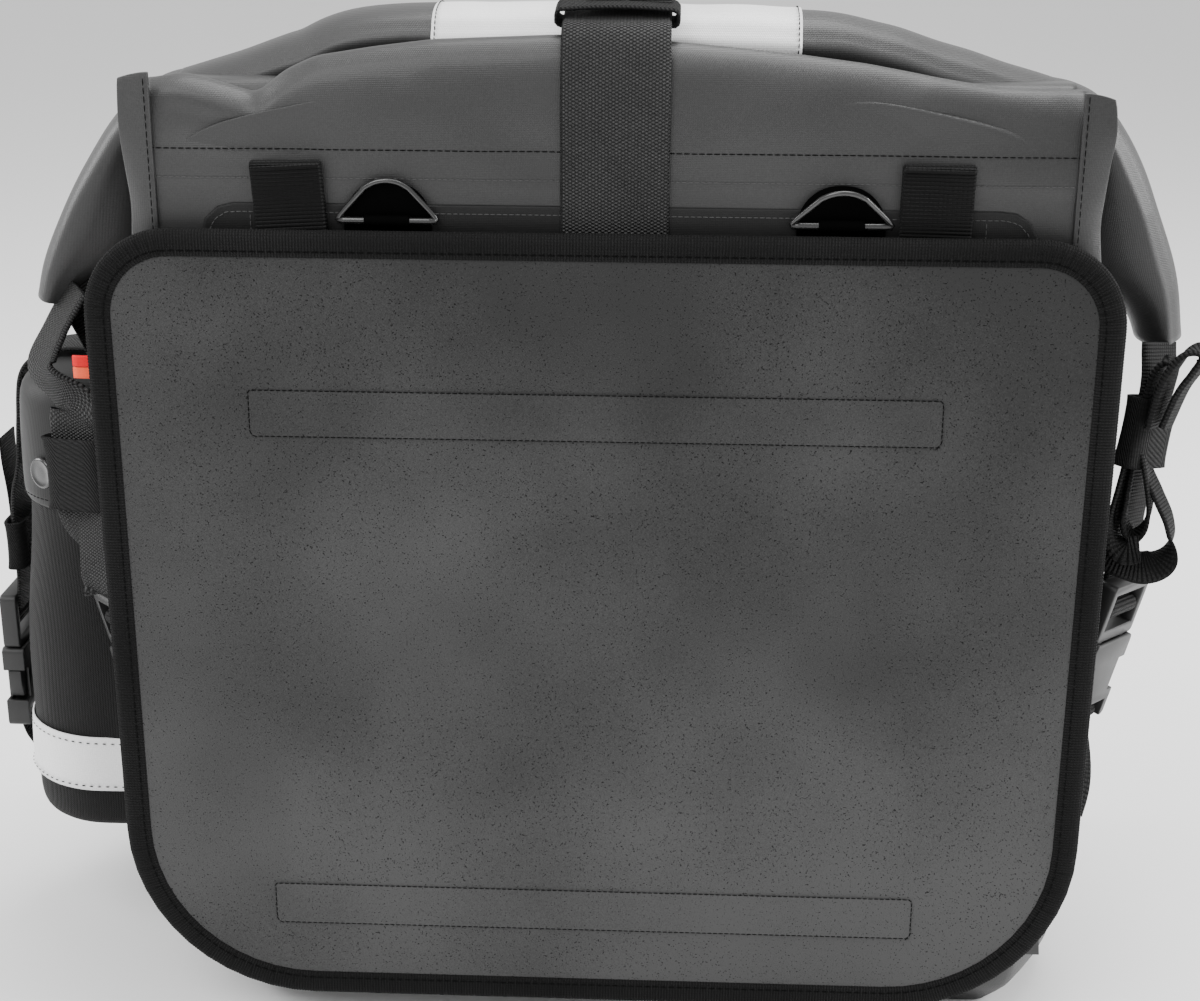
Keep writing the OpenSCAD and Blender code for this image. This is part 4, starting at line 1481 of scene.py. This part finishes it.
@dataclass
class SwingRing:
    """A small swinging ring on its rubber tab. Sizes in mm."""

    wardrobe: Wardrobe
    side: str
    x: float
    lean: float
    y: float = -96.0
    z: float = 324.8
    width: float = 37.0
    height: float = 15.0

    def turned(self, x: float, z: float, y: float = 0.0) -> Vector:
        """A point of the ring's own plane, leaned about its bar."""
        a = math.radians(self.lean)
        return mm(self.x + x, self.y + y * math.cos(a) - z * math.sin(a),
                  self.z + y * math.sin(a) + z * math.cos(a))

    def build(self) -> None:
        """Builds the ring, its bar and its tab."""
        half, top, r = self.width / 2 - 0.9, self.height - 0.9, 12.5
        bow = ([(half, 0.0), (half - 1.6, 2.6)] + arc_points(0, top - r, r, 48, 132, 16)
               + [(-half + 1.6, 2.6), (-half, 0.0)])
        path = spaced(rounded([self.turned(x, z) for x, z in bow], 5), 0.8 * MM)
        body = f"ring_{self.side}"
        rim = tube(f"{body}_rim", path, 0.95 * MM, 12)
        self.wardrobe.dress(rim, "ring_plastic", body, (body,))
        bar = tube(f"{body}_bar", [self.turned(-half + 2 * half * i / 12, 0) for i in range(13)],
                   1.3 * MM, 12)
        self.wardrobe.dress(bar, "ring_plastic", body)
        tab = plate_outline(self.x, 300, 31, 38.6, 14.5, 2, 1.2)
        plate = plate_piece(f"tab_{self.side}", tab, -93.3, -94.6, 0.0, 6)
        self.wardrobe.dress(plate, "soft_rubber", stands_for=(f"ring_tab_{self.side}",))
        line = [mm(self.x - 8 + i, self.y, self.z) for i in range(17)]
        sleeve = tube(f"tab_sleeve_{self.side}", line, 2.1 * MM, 16)
        self.wardrobe.dress(sleeve, "soft_rubber")


# ---- side straps and buckles ----------------------------------------------------------------


@dataclass(frozen=True)
class Place:
    """Where a buckle lies: its mouth, its tilt about Y and its turn, in mm and degrees."""

    mouth: tuple[float, float, float]
    tilt: float
    turn: float

    def frame(self) -> Matrix:
        """The matrix that takes the buckle's own frame to the bag's."""
        return (Matrix.Translation(mm(*self.mouth)) @ Matrix.Rotation(math.radians(self.tilt), 4, "Y")
                @ Matrix.Rotation(math.radians(self.turn), 4, "Z"))

    def point(self, x: float, y: float, z: float) -> Vector:
        """A point of the buckle's own frame, in mm, as a place on the bag."""
        return self.frame() @ mm(x, y, z)

    def across(self) -> Vector:
        """The direction across the buckle's webbing."""
        return (self.frame().to_3x3() @ Vector((1, 0, 0))).normalized()


# foot and top of the bars that the webbing goes round, over a buckle's mouth
LADDER_BAR, SOCKET_BAR = (10.5, 14.0), (-36.0, -33.0)

PLACES = {"front": Place((1.1, 99, 232), 0, 0), "left": Place((-188.5, -75, 149), -14.5, -54),
          "right": Place((190, -75, 164), 14.5, 54), "pocket": Place((-257, -5, 124), 0, 90)}


def turned_across(turn: float) -> Vector:
    """A level direction across a strap, turned about Z by some degrees."""
    return Vector((math.cos(math.radians(turn)), math.sin(math.radians(turn)), 0))


def turned_rows(rows: Sequence[tuple[float, ...]]) -> list[tuple[Vector, Vector]]:
    """Rows of a band, from rows of x, y, z in mm and the turn of its width in degrees."""
    return [(mm(x, y, z), turned_across(turn)) for x, y, z, turn in rows]


class StrapMaker:
    """Makes bands that twist, wraps round bars and sleeves."""

    def __init__(self, wardrobe: Wardrobe) -> None:
        """Keeps the wardrobe that dresses the bands."""
        self.wardrobe = wardrobe

    def band(self, name: str, rows: Sequence[tuple[Vector, Vector]], width: float, thick: float,
             finish: str = "ribbed_webbing", nodes: Sequence[str] = (), bow: float = 0.0) -> None:
        """A band through rows of a place and the direction across the band.

        Args:
            name: Name of the piece.
            rows: Places with the direction across the band at each.
            width: Its width.
            thick: Its thickness.
            finish: Name of its finish.
            nodes: The nodes that it replaces.
            bow: How far its middle stands proud.
        """
        places = rounded([r[0] for r in rows], 10)
        sides = rounded([r[1] for r in rows], 10)
        piece = ribbon(name, places, width * MM, thick * MM, sides, bow * MM)
        self.wardrobe.dress(piece, finish, stands_for=nodes)

    def wrap(self, name: str, place: Place, width: float, bar: tuple[float, float]) -> None:
        """Webbing round one bar of a buckle.

        Args:
            name: Name of the piece.
            place: Where the buckle lies.
            width: The webbing's width.
            bar: Foot and top of the bar in the buckle's frame.
        """
        low, high = bar
        mid, reach_z, reach_y = (low + high) / 2, (high - low) / 2 + 0.95, 1.7 + 0.95
        turns = [math.radians(t) for t in range(0, 361, 20)]
        path = [place.point(0, reach_y * math.cos(a), mid + reach_z * math.sin(a)) for a in turns]
        piece = ribbon(name, path, width * MM, 1.4 * MM, [place.across()] * len(path))
        self.wardrobe.dress(piece, "ribbed_webbing")

    def sleeve(self, name: str, centre: Vector, axis: Vector, turn: float, length: float,
               half: tuple[float, float], body: str) -> None:
        """An elastic sleeve round a strap, a little pinched at its middle.

        Args:
            name: Name of the piece.
            centre: Its middle, in metres.
            axis: Direction of the strap through it.
            turn: Turn of its width about Z, in degrees.
            length: Its length along the strap.
            half: Its half width and half depth.
            body: The body that it rides on, which is also the node that it replaces.
        """
        side = turned_across(turn)
        side = (side - axis * side.dot(axis)).normalized()
        out = axis.cross(side)
        rings, rows, sides = [], 12, 36
        for i in range(rows + 1):
            t = i / rows - 0.5
            pinch = 1.0 - 0.05 * math.cos(math.pi * t) + 0.03 * bump(abs(t), 0.5, 0.06)
            ring = []
            for j in range(sides):
                a = 2 * math.pi * j / sides
                u = half[0] * math.copysign(abs(math.cos(a)) ** 0.45, math.cos(a)) * pinch
                v = half[1] * math.copysign(abs(math.sin(a)) ** 0.7, math.sin(a)) * pinch
                ring.append(centre + (axis * length * t + side * u + out * v) * MM)
            rings.append(ring)
        girth = 4 * (half[0] + half[1]) * MM
        piece = loft(name, rings, caps=False,
                     lay=lambda i, j: (girth * j / sides, length * MM * i / rows))
        finish_mesh(piece, thickness=1.2 * MM)
        self.wardrobe.dress(piece, "elastic_sleeve", body, (body,))


@dataclass
class Buckle:
    """One side-release buckle: its two halves and its two sprung prongs."""

    wardrobe: Wardrobe
    straps: StrapMaker
    side: str
    web: float = 25.0

    def build(self) -> None:
        """Builds the four moulded pieces, and the webbing round the two bars on every buckle but the
        front one.
        """
        for half in ("male", "female"):
            node = f"{self.side}_buckle_{half}"
            piece = moulded_copy(node, f"{self.side}_{half}_half", 0.55 * MM)
            self.wardrobe.dress(piece, "moulded_black", stands_for=(node,))
        for prong in "ab":
            node = f"{self.side}_prong_{prong}"
            piece = moulded_copy(node, f"{self.side}_spring_{prong}", 0.4 * MM)
            self.wardrobe.dress(piece, "moulded_black", node, (node,))
        if self.side != "front":
            place = PLACES[self.side]
            self.straps.wrap(f"{self.side}_ladder_wrap", place, self.web, LADDER_BAR)
            self.straps.wrap(f"{self.side}_socket_wrap", place, self.web - 1, SOCKET_BAR)


@dataclass
class SideStraps:
    """The closing straps at the bag's two ends. Sizes in mm."""

    wardrobe: Wardrobe
    straps: StrapMaker
    web: float = 25.0

    def entry(self, side: str) -> list[tuple[Vector, Vector]]:
        """The last rows of a strap: down the ladder half's back to its bar."""
        place, across = PLACES[side], PLACES[side].across()
        return [(place.point(0, y, z), across) for y, z in ((4.5, 31), (4.6, 22), (3.2, 15.2))]

    def anchor(self, side: str, out: float, z: float) -> None:
        """The strap from the socket's bar down to the corner seam.

        Args:
            side: Name of the end.
            out: -1 for the left end, 1 for the right end.
            z: Height at which it is sewn in.
        """
        place = PLACES[side]
        rows = [(place.point(0, 0, -37.4), place.across()),
                (mm(out * 179, -82, (z + 118) / 2), turned_across(out * 30)),
                (mm(out * 174, -88, z), turned_across(out * 12))]
        self.straps.band(f"{side}_lower_webbing", rows, self.web - 1, 1.5,
                         nodes=(f"{side}_lower_strap",))

    def left(self) -> None:
        """The left strap, which bulges under the rolled end, and its sleeve."""
        axis = Vector((-3, 5, 60)).normalized()
        centre = Vector((-203.2, -75, 222))
        rows = turned_rows(((-203, -60, 291, -58), (-212, -64, 275, -58), (-216.5, -69, 261, -50)))
        rows += [((centre + axis * up) * MM, turned_across(turn))
                 for up, turn in ((27, -28), (18, -24), (0, -24), (-20, -24))]
        self.straps.band("left_upper_webbing", rows + self.entry("left"), self.web, 2.4,
                         "wide_webbing", ("left_upper_strap",), bow=0.4)
        self.straps.sleeve("left_elastic", centre * MM, axis, -24, 28, (15.4, 5.2), "left_sleeve")
        spare = turned_rows(((-201, -77, 230, -36), (-198.5, -80, 206, -36), (-197.5, -83, 193, -32),
                             (-196, -87, 183, -28), (-194.5, -86, 177.5, -26),
                             (-195, -82.5, 179, -24)))
        self.straps.band("left_spare_webbing", spare, 17, 1.6, "wide_webbing")
        under = turned_rows(((-205, -50, 292, -8), (-194, -58, 276, -14), (-186, -66, 260, -24),
                             (-180, -74, 244, -30)))
        self.straps.band("left_under_webbing", under, self.web, 1.5)
        self.anchor("left", -1, 84)

    def right(self) -> None:
        """The right strap with its folded spare webbing and its sleeve."""
        axis = Vector((6, 5, 36)).normalized()
        centre = Vector((200, -66, 243))
        rows = turned_rows(((203, -60, 276, 50),))
        rows += [((centre + axis * up) * MM, turned_across(50)) for up in (17, -17)]
        rows += self.entry("right")
        self.straps.band("right_upper_webbing", rows, self.web, 2.2, nodes=("right_upper_strap",))
        self.straps.sleeve("right_elastic", centre * MM, axis, 50, 26, (15.2, 5.6), "right_sleeve")
        tip = [(199, 248), (201.5, 262), (204.5, 270), (208.6, 275.6), (213.2, 277.2), (215.6, 274.4),
               (213, 269.2), (208.6, 261.6), (204, 248)]
        lean = Vector((0.6, 0.8, 0.1))
        self.straps.band("right_fold_webbing", [(mm(x, -77, z), lean) for x, z in tip], 11, 2.4,
                         nodes=("right_fold",))
        inner = [(197, 248), (198.6, 261), (200.2, 268), (203, 271.6), (205.4, 269.4), (204.6, 262),
                 (202, 248)]
        self.straps.band("right_fold_inner", [(mm(x, -73, z), lean) for x, z in inner], 10, 2.2)
        self.hanging()
        self.anchor("right", 1, 98)

    def hanging(self) -> None:
        """The spare webbing that hangs below the right sleeve."""
        edge, face = Vector((0.3, 0.92, 0.2)), Vector((0.1, 0.62, 0.78))
        big = [(198, -70, 244, edge), (200, -72, 231, edge), (204.5, -75, 221, edge),
               (208.6, -78, 212, edge), (209.6, -80, 204, edge.lerp(face, 0.4)),
               (206, -83, 197.5, edge.lerp(face, 0.8)), (199, -84.5, 195.4, face),
               (191, -84, 197.5, face), (184, -81, 200, face)]
        self.straps.band("right_hanging_loop", [(mm(x, y, z), a) for x, y, z, a in big], 13, 1.6,
                         nodes=("right_loops",))
        small = [(196.5, -72, 243), (199.5, -75, 230), (201.3, -77, 218), (199.6, -79, 210),
                 (195, -80, 206.5), (192, -79, 212), (193, -76, 221), (194.5, -73, 231),
                 (195.4, -71, 243)]
        self.straps.band("right_small_loop", [(mm(x, y, z), edge) for x, y, z in small], 11, 1.7)
        strand = [(193.6, -72, 243, edge), (190.4, -75, 229, edge), (187.6, -78, 216, edge),
                  (187.5, -82, 208, edge), (191, -86.5, 203, face), (196.5, -88, 204, face)]
        self.straps.band("right_strand", [(mm(x, y, z), a) for x, y, z, a in strand], 11, 1.8)

    def tags(self) -> None:
        """The two-colour tag on the left end."""
        for name, z, finish in (("tag_red", 271.6, "red_tag"), ("tag_orange", 267.2, "orange_tag")):
            path = [mm(-196 + 23.2 * i / 12, -94.7 - 0.5 * math.sin(i * 0.7), z) for i in range(13)]
            piece = ribbon(f"{name}_cloth", path, 4.3 * MM, 0.9 * MM, [Vector((0, 0, 1))] * 13)
            self.wardrobe.dress(piece, finish, stands_for=(name,))

    def build(self) -> None:
        """Builds both straps and the tag."""
        self.left()
        self.right()
        self.tags()


# ---- bottle pocket --------------------------------------------------------------------------


@dataclass
class BottlePocket:
    """The bottle pocket on the left end, with its lid, band, strap and snap. Sizes in mm."""

    wardrobe: Wardrobe
    repeater: Repeater
    straps: StrapMaker
    y: float = -5.0
    deep: float = 102.0
    corner: float = 36.0
    inner_x: float = -187.6

    def outline(self, out: float, z: float, grow: float) -> Path:
        """The pocket's outline at one height, with the same number of points at each.

        Args:
            out: The outer face's place along X.
            z: Height.
            grow: How far the outline stands off the wall.

        Returns:
            The points, from the bag's wall round the outer face and back.
        """
        y0, y1, r, count = self.y - self.deep / 2, self.y + self.deep / 2, self.corner, 76
        pts = [(self.inner_x, y0 - grow), (self.inner_x, y1 + grow)]
        pts += arc_points(out + r, y1 - r, r + grow, 90, 180, 12)
        pts += arc_points(out + r, y0 + r, r + grow, 180, 270, 12)
        loop = [mm(x, y, z) for x, y in pts]
        total = sum((b - a).length for a, b in zip(loop, loop[1:] + loop[:1]))
        return spaced(loop + loop[:1], total / count)[:count]

    def folded(self, z: float, grow: float) -> Path:
        """The wall's outline at a height, moved by its folds and grown by some mm."""
        out = -248 + 10 * smooth((z - 70) / 180)
        return [self.cloth(p, 1.1) for p in self.outline(out, z, grow)]

    def free_line(self, ring: Path, clear: float) -> Path:
        """The part of a ring that is clear of the bag's wall by some mm, in order round it."""
        line = [p for p in ring if p.x < (self.inner_x - clear) * MM]
        return sorted(line, key=lambda p: math.atan2(p.y - self.y * MM, -(p.x + 0.2)))

    def cloth(self, p: Vector, amount: float) -> Vector:
        """A point of the pocket, moved by its soft folds.

        Args:
            p: The point.
            amount: Depth of the folds.

        Returns:
            The moved point.
        """
        x, y, z = p / MM
        free = smooth((self.inner_x - 4 - x) / 14)
        fold = noise.noise(Vector((x * 0.02, y * 0.03, z * 0.016)))
        fold += 0.5 * math.sin(z * 0.07 + y * 0.05)
        away = Vector((x - self.inner_x + 20, y - self.y, 0)).normalized()
        return p + away * fold * amount * free * MM

    def shell(self) -> None:
        """The pocket's wall and floor."""
        rows = [(58, -10), (58.2, -5), (60, -2.4), (63, -0.8), (68, 0), (74, 0.2)]
        rows += [(z, 0.4 + 1.2 * math.sin(math.pi * (z - 74) / 164)) for z in range(80, 239, 6)]
        piece = loft("pocket_body", [self.folded(z, grow) for z, grow in rows])
        self.puff(piece)
        finish_mesh(piece, subdivide=1)
        self.wardrobe.dress(piece, "pocket_cloth", stands_for=("pocket_shell",))

    def puff(self, piece: bpy.types.Object) -> None:
        """Lets the cloth swell a little under pressure, and holds how far it may move.

        Args:
            piece: The wall, whose mesh is changed in place.
        """
        limit = 2.2 * MM
        start = [v.co.copy() for v in piece.data.vertices]
        held = piece.vertex_groups.new(name="held")
        fixed = [v.index for v in piece.data.vertices
                 if v.co.x > (self.inner_x - 3) * MM or v.co.z > 230 * MM or v.co.z < 60 * MM]
        held.add(fixed, 1.0, "REPLACE")
        cloth = piece.modifiers.new("cloth", "CLOTH")
        cloth.settings.use_pressure = True
        cloth.settings.uniform_pressure_force = 1.5
        cloth.settings.vertex_group_mass = "held"
        cloth.settings.effector_weights.gravity = 0.0
        cloth.settings.tension_stiffness = cloth.settings.compression_stiffness = 30.0
        cloth.settings.bending_stiffness = 2.0
        for step in range(1, 16):
            bpy.context.scene.frame_set(step)
        bake(piece)
        for v, before in zip(piece.data.vertices, start):
            move = v.co - before
            if move.length > limit:
                v.co = before + move.normalized() * limit
        bpy.context.scene.frame_set(1)

    def lid(self) -> None:
        """The smooth lid, closed by the strap."""
        rows = [(199, -2.0), (198.2, 1.0), (199, 2.6), (206, 2.8), (225, 2.8), (240, 2.6),
                (245.5, 1.6), (249.5, -2), (251.6, -7), (252.4, -14)]
        out = -240.5
        rings = [[self.cloth(p, 0.8)
                  for p in self.outline(out + 1.5 * smooth((z - 205) / 35), z, grow)]
                 for z, grow in rows]
        piece = finish_mesh(loft("pocket_cover", rings), subdivide=1)
        self.wardrobe.dress(piece, "patch_cloth", stands_for=("pocket_lid",))
        hem = [p + mm(-0.2, 0, 0) for p in self.outline(out, 203, 3.3)]
        self.repeater.stitch("cover_hem", [self.free_line(hem, 4)], across=(0, 0, 1))

    def band(self) -> None:
        """The reflective band, sewn on along both edges."""
        rows = ((77, 1.6), (77.4, 2.2), (83, 2.5), (89, 2.6), (95, 2.5), (100.6, 2.2), (101, 1.6))
        skin = loft("pocket_reflector", [self.folded(z, grow) for z, grow in rows], caps=False)
        piece = finish_mesh(skin, thickness=0.5 * MM)
        self.wardrobe.dress(piece, "reflective_cloth", stands_for=("pocket_band",))
        lines = [self.free_line(self.folded(z, 2.75), 2) for z in (79.4, 98.6)]
        self.repeater.lay("reflector_seams", lines, "dark_thread", 3.4, (1.7, 0.5, 0.4), (0, 0, 1))

    def strap(self) -> None:
        """The pocket's strap, its keeper and the strap under its buckle."""
        side = Vector((0, 1, 0))
        place = PLACES["pocket"]
        line = [(-206, 254.4), (-224, 255), (-236.5, 252), (-244, 243.4), (-246.6, 224), (-248.4, 206),
                (-251.2, 195), (-252.4, 186), (-252.6, 170), (-252.8, 154), (-254.2, 140)]
        self.straps.band("pocket_webbing", [(mm(x, self.y, z), side) for x, z in line], 25, 1.5,
                         "wide_webbing", ("pocket_strap",))
        spare = [(-254.0, 157), (-254.3, 165), (-254.4, 180), (-254.8, 192), (-256, 206),
                 (-256, 215.5)]
        self.straps.band("pocket_spare", [(mm(x, self.y, z), side) for x, z in spare], 18, 0.8)
        self.straps.sleeve("pocket_elastic", mm(-252.6, self.y, 170), Vector((0, 0, 1)), 90, 20,
                           (15.2, 4.4), "pocket_keeper")
        low = [(place.point(0, 0, -36.9), side)]
        low += [(mm(x, self.y, z), side) for x, z in ((-255.4, 82), (-252.4, 76.6), (-250.6, 70))]
        self.straps.band("pocket_lower_webbing", low, 24, 1.5, nodes=("pocket_lower_strap",))

    def snap(self) -> None:
        """The snap's cap, with a rolled rim."""
        aim = math.radians(236)
        out = Vector((math.cos(aim), math.sin(aim), 0))
        side, up = Vector((-out.y, out.x, 0)), Vector((0, 0, 1))
        middle = mm(-203.8, -20, 214) + out * 38.6 * MM
        # the cap's section: radius and height over the lid
        section = ((6.1, -1.0), (6.4, 0.4), (6.3, 1.4), (5.8, 2.0), (5.2, 2.0), (4.7, 1.7),
                   (2.4, 1.9), (0.3, 1.95))
        turns = [2 * math.pi * j / 40 for j in range(40)]
        rings = [[middle + (out * h + side * r * math.cos(a) + up * r * math.sin(a)) * MM
                  for a in turns] for r, h in section]
        self.wardrobe.dress(loft("snap_button", rings), "ring_plastic", stands_for=("snap_cap",))

    def build(self) -> None:
        """Builds the whole pocket."""
        self.shell()
        self.lid()
        self.band()
        self.strap()
        self.snap()


# ---- studio ---------------------------------------------------------------------------------


@dataclass
class Studio:
    """The pale floor, the soft lights and the camera."""

    camera_at: tuple[float, float, float] = (0.0257, -0.7733, 0.4573)
    yaw: float = -2.466
    pitch: float = 19.147
    roll: float = 0.26
    lens: float = 58.5
    aim: tuple[float, float, float] = (0.0, 0.0, 0.2)

    def floor(self) -> None:
        """A wide pale floor."""
        mesh = bpy.data.meshes.new("floor")
        mesh.from_pydata([(-6, -6, 0), (6, -6, 0), (6, 6, 0), (-6, 6, 0)], [], [(0, 1, 2, 3)])
        floor = link("floor", mesh)
        paint = bpy.data.materials.new("pale_floor")
        paint.use_nodes = True
        shader = paint.node_tree.nodes["Principled BSDF"]
        shader.inputs["Base Color"].default_value = (0.9, 0.9, 0.9, 1)
        shader.inputs["Roughness"].default_value = 0.8
        mesh.materials.append(paint)

    def light(self, name: str, at: tuple[float, float, float], power: float, size: float) -> None:
        """One soft light that faces the bag's middle.

        Args:
            name: Name of the light.
            at: Its place.
            power: Its power in watts.
            size: Side of its square.
        """
        data = bpy.data.lights.new(name, "AREA")
        data.energy, data.size = power, size
        lamp = link(name, data)
        lamp.location = at
        lamp.rotation_euler = (Vector(self.aim) - Vector(at)).to_track_quat("-Z", "Y").to_euler()

    def camera(self) -> None:
        """The camera, a little above the bag on its mounting side."""
        yaw, pitch, roll = (math.radians(a) for a in (self.yaw, self.pitch, self.roll))
        ahead = Vector((math.sin(yaw) * math.cos(pitch), math.cos(yaw) * math.cos(pitch),
                        -math.sin(pitch)))
        level = Vector((math.cos(yaw), -math.sin(yaw), 0))
        upright = level.cross(ahead)
        right = level * math.cos(roll) + upright * math.sin(roll)
        up = upright * math.cos(roll) - level * math.sin(roll)
        data = bpy.data.cameras.new("camera")
        data.lens, data.sensor_width, data.sensor_fit = self.lens, 36.0, "HORIZONTAL"
        camera = link("camera", data)
        turn = Matrix((right, up, -ahead)).transposed().to_4x4()
        camera.matrix_world = Matrix.Translation(Vector(self.camera_at)) @ turn
        bpy.context.scene.camera = camera

    def build(self) -> None:
        """Builds the studio."""
        self.camera()
        self.floor()
        world = bpy.data.worlds.new("soft_sky")
        world.use_nodes = True
        sky = world.node_tree.nodes["Background"]
        sky.inputs["Color"].default_value = (1, 1, 1, 1)
        sky.inputs["Strength"].default_value = 1.0
        bpy.context.scene.world = world
        for name, at, power, size in (("key", (-0.6, -1.0, 1.5), 14, 0.9),
                                      ("top", (0.2, 0.3, 1.6), 22, 1.0),
                                      ("left_rim", (-1.4, 0.1, 0.8), 14, 0.7),
                                      ("right_rim", (1.4, 0.0, 0.8), 22, 0.7)):
            self.light(name, at, power, size)


def main() -> None:
    """Builds the bag in order, from its shell to its straps."""
    logging.basicConfig(level=logging.INFO, format="%(name)s: %(message)s")
    Studio().build()
    wardrobe = Wardrobe()
    repeater = Repeater(wardrobe)
    straps = StrapMaker(wardrobe)
    BagBody(wardrobe, repeater).build()
    RollClosure(wardrobe, repeater).build()
    HeatPanel(wardrobe, repeater).build()
    CentreStrap(wardrobe, repeater).build()
    HangerLoops(wardrobe, repeater).build()
    SwingRing(wardrobe, "left", -79.0, 0.0).build()
    SwingRing(wardrobe, "right", 80.5, 26.0).build()
    SideStraps(wardrobe, straps).build()
    for side, web in (("front", 38.0), ("left", 25.0), ("right", 25.0), ("pocket", 25.0)):
        Buckle(wardrobe, straps, side, web).build()
    BottlePocket(wardrobe, repeater, straps).build()


if __name__ == "__main__":
    main()
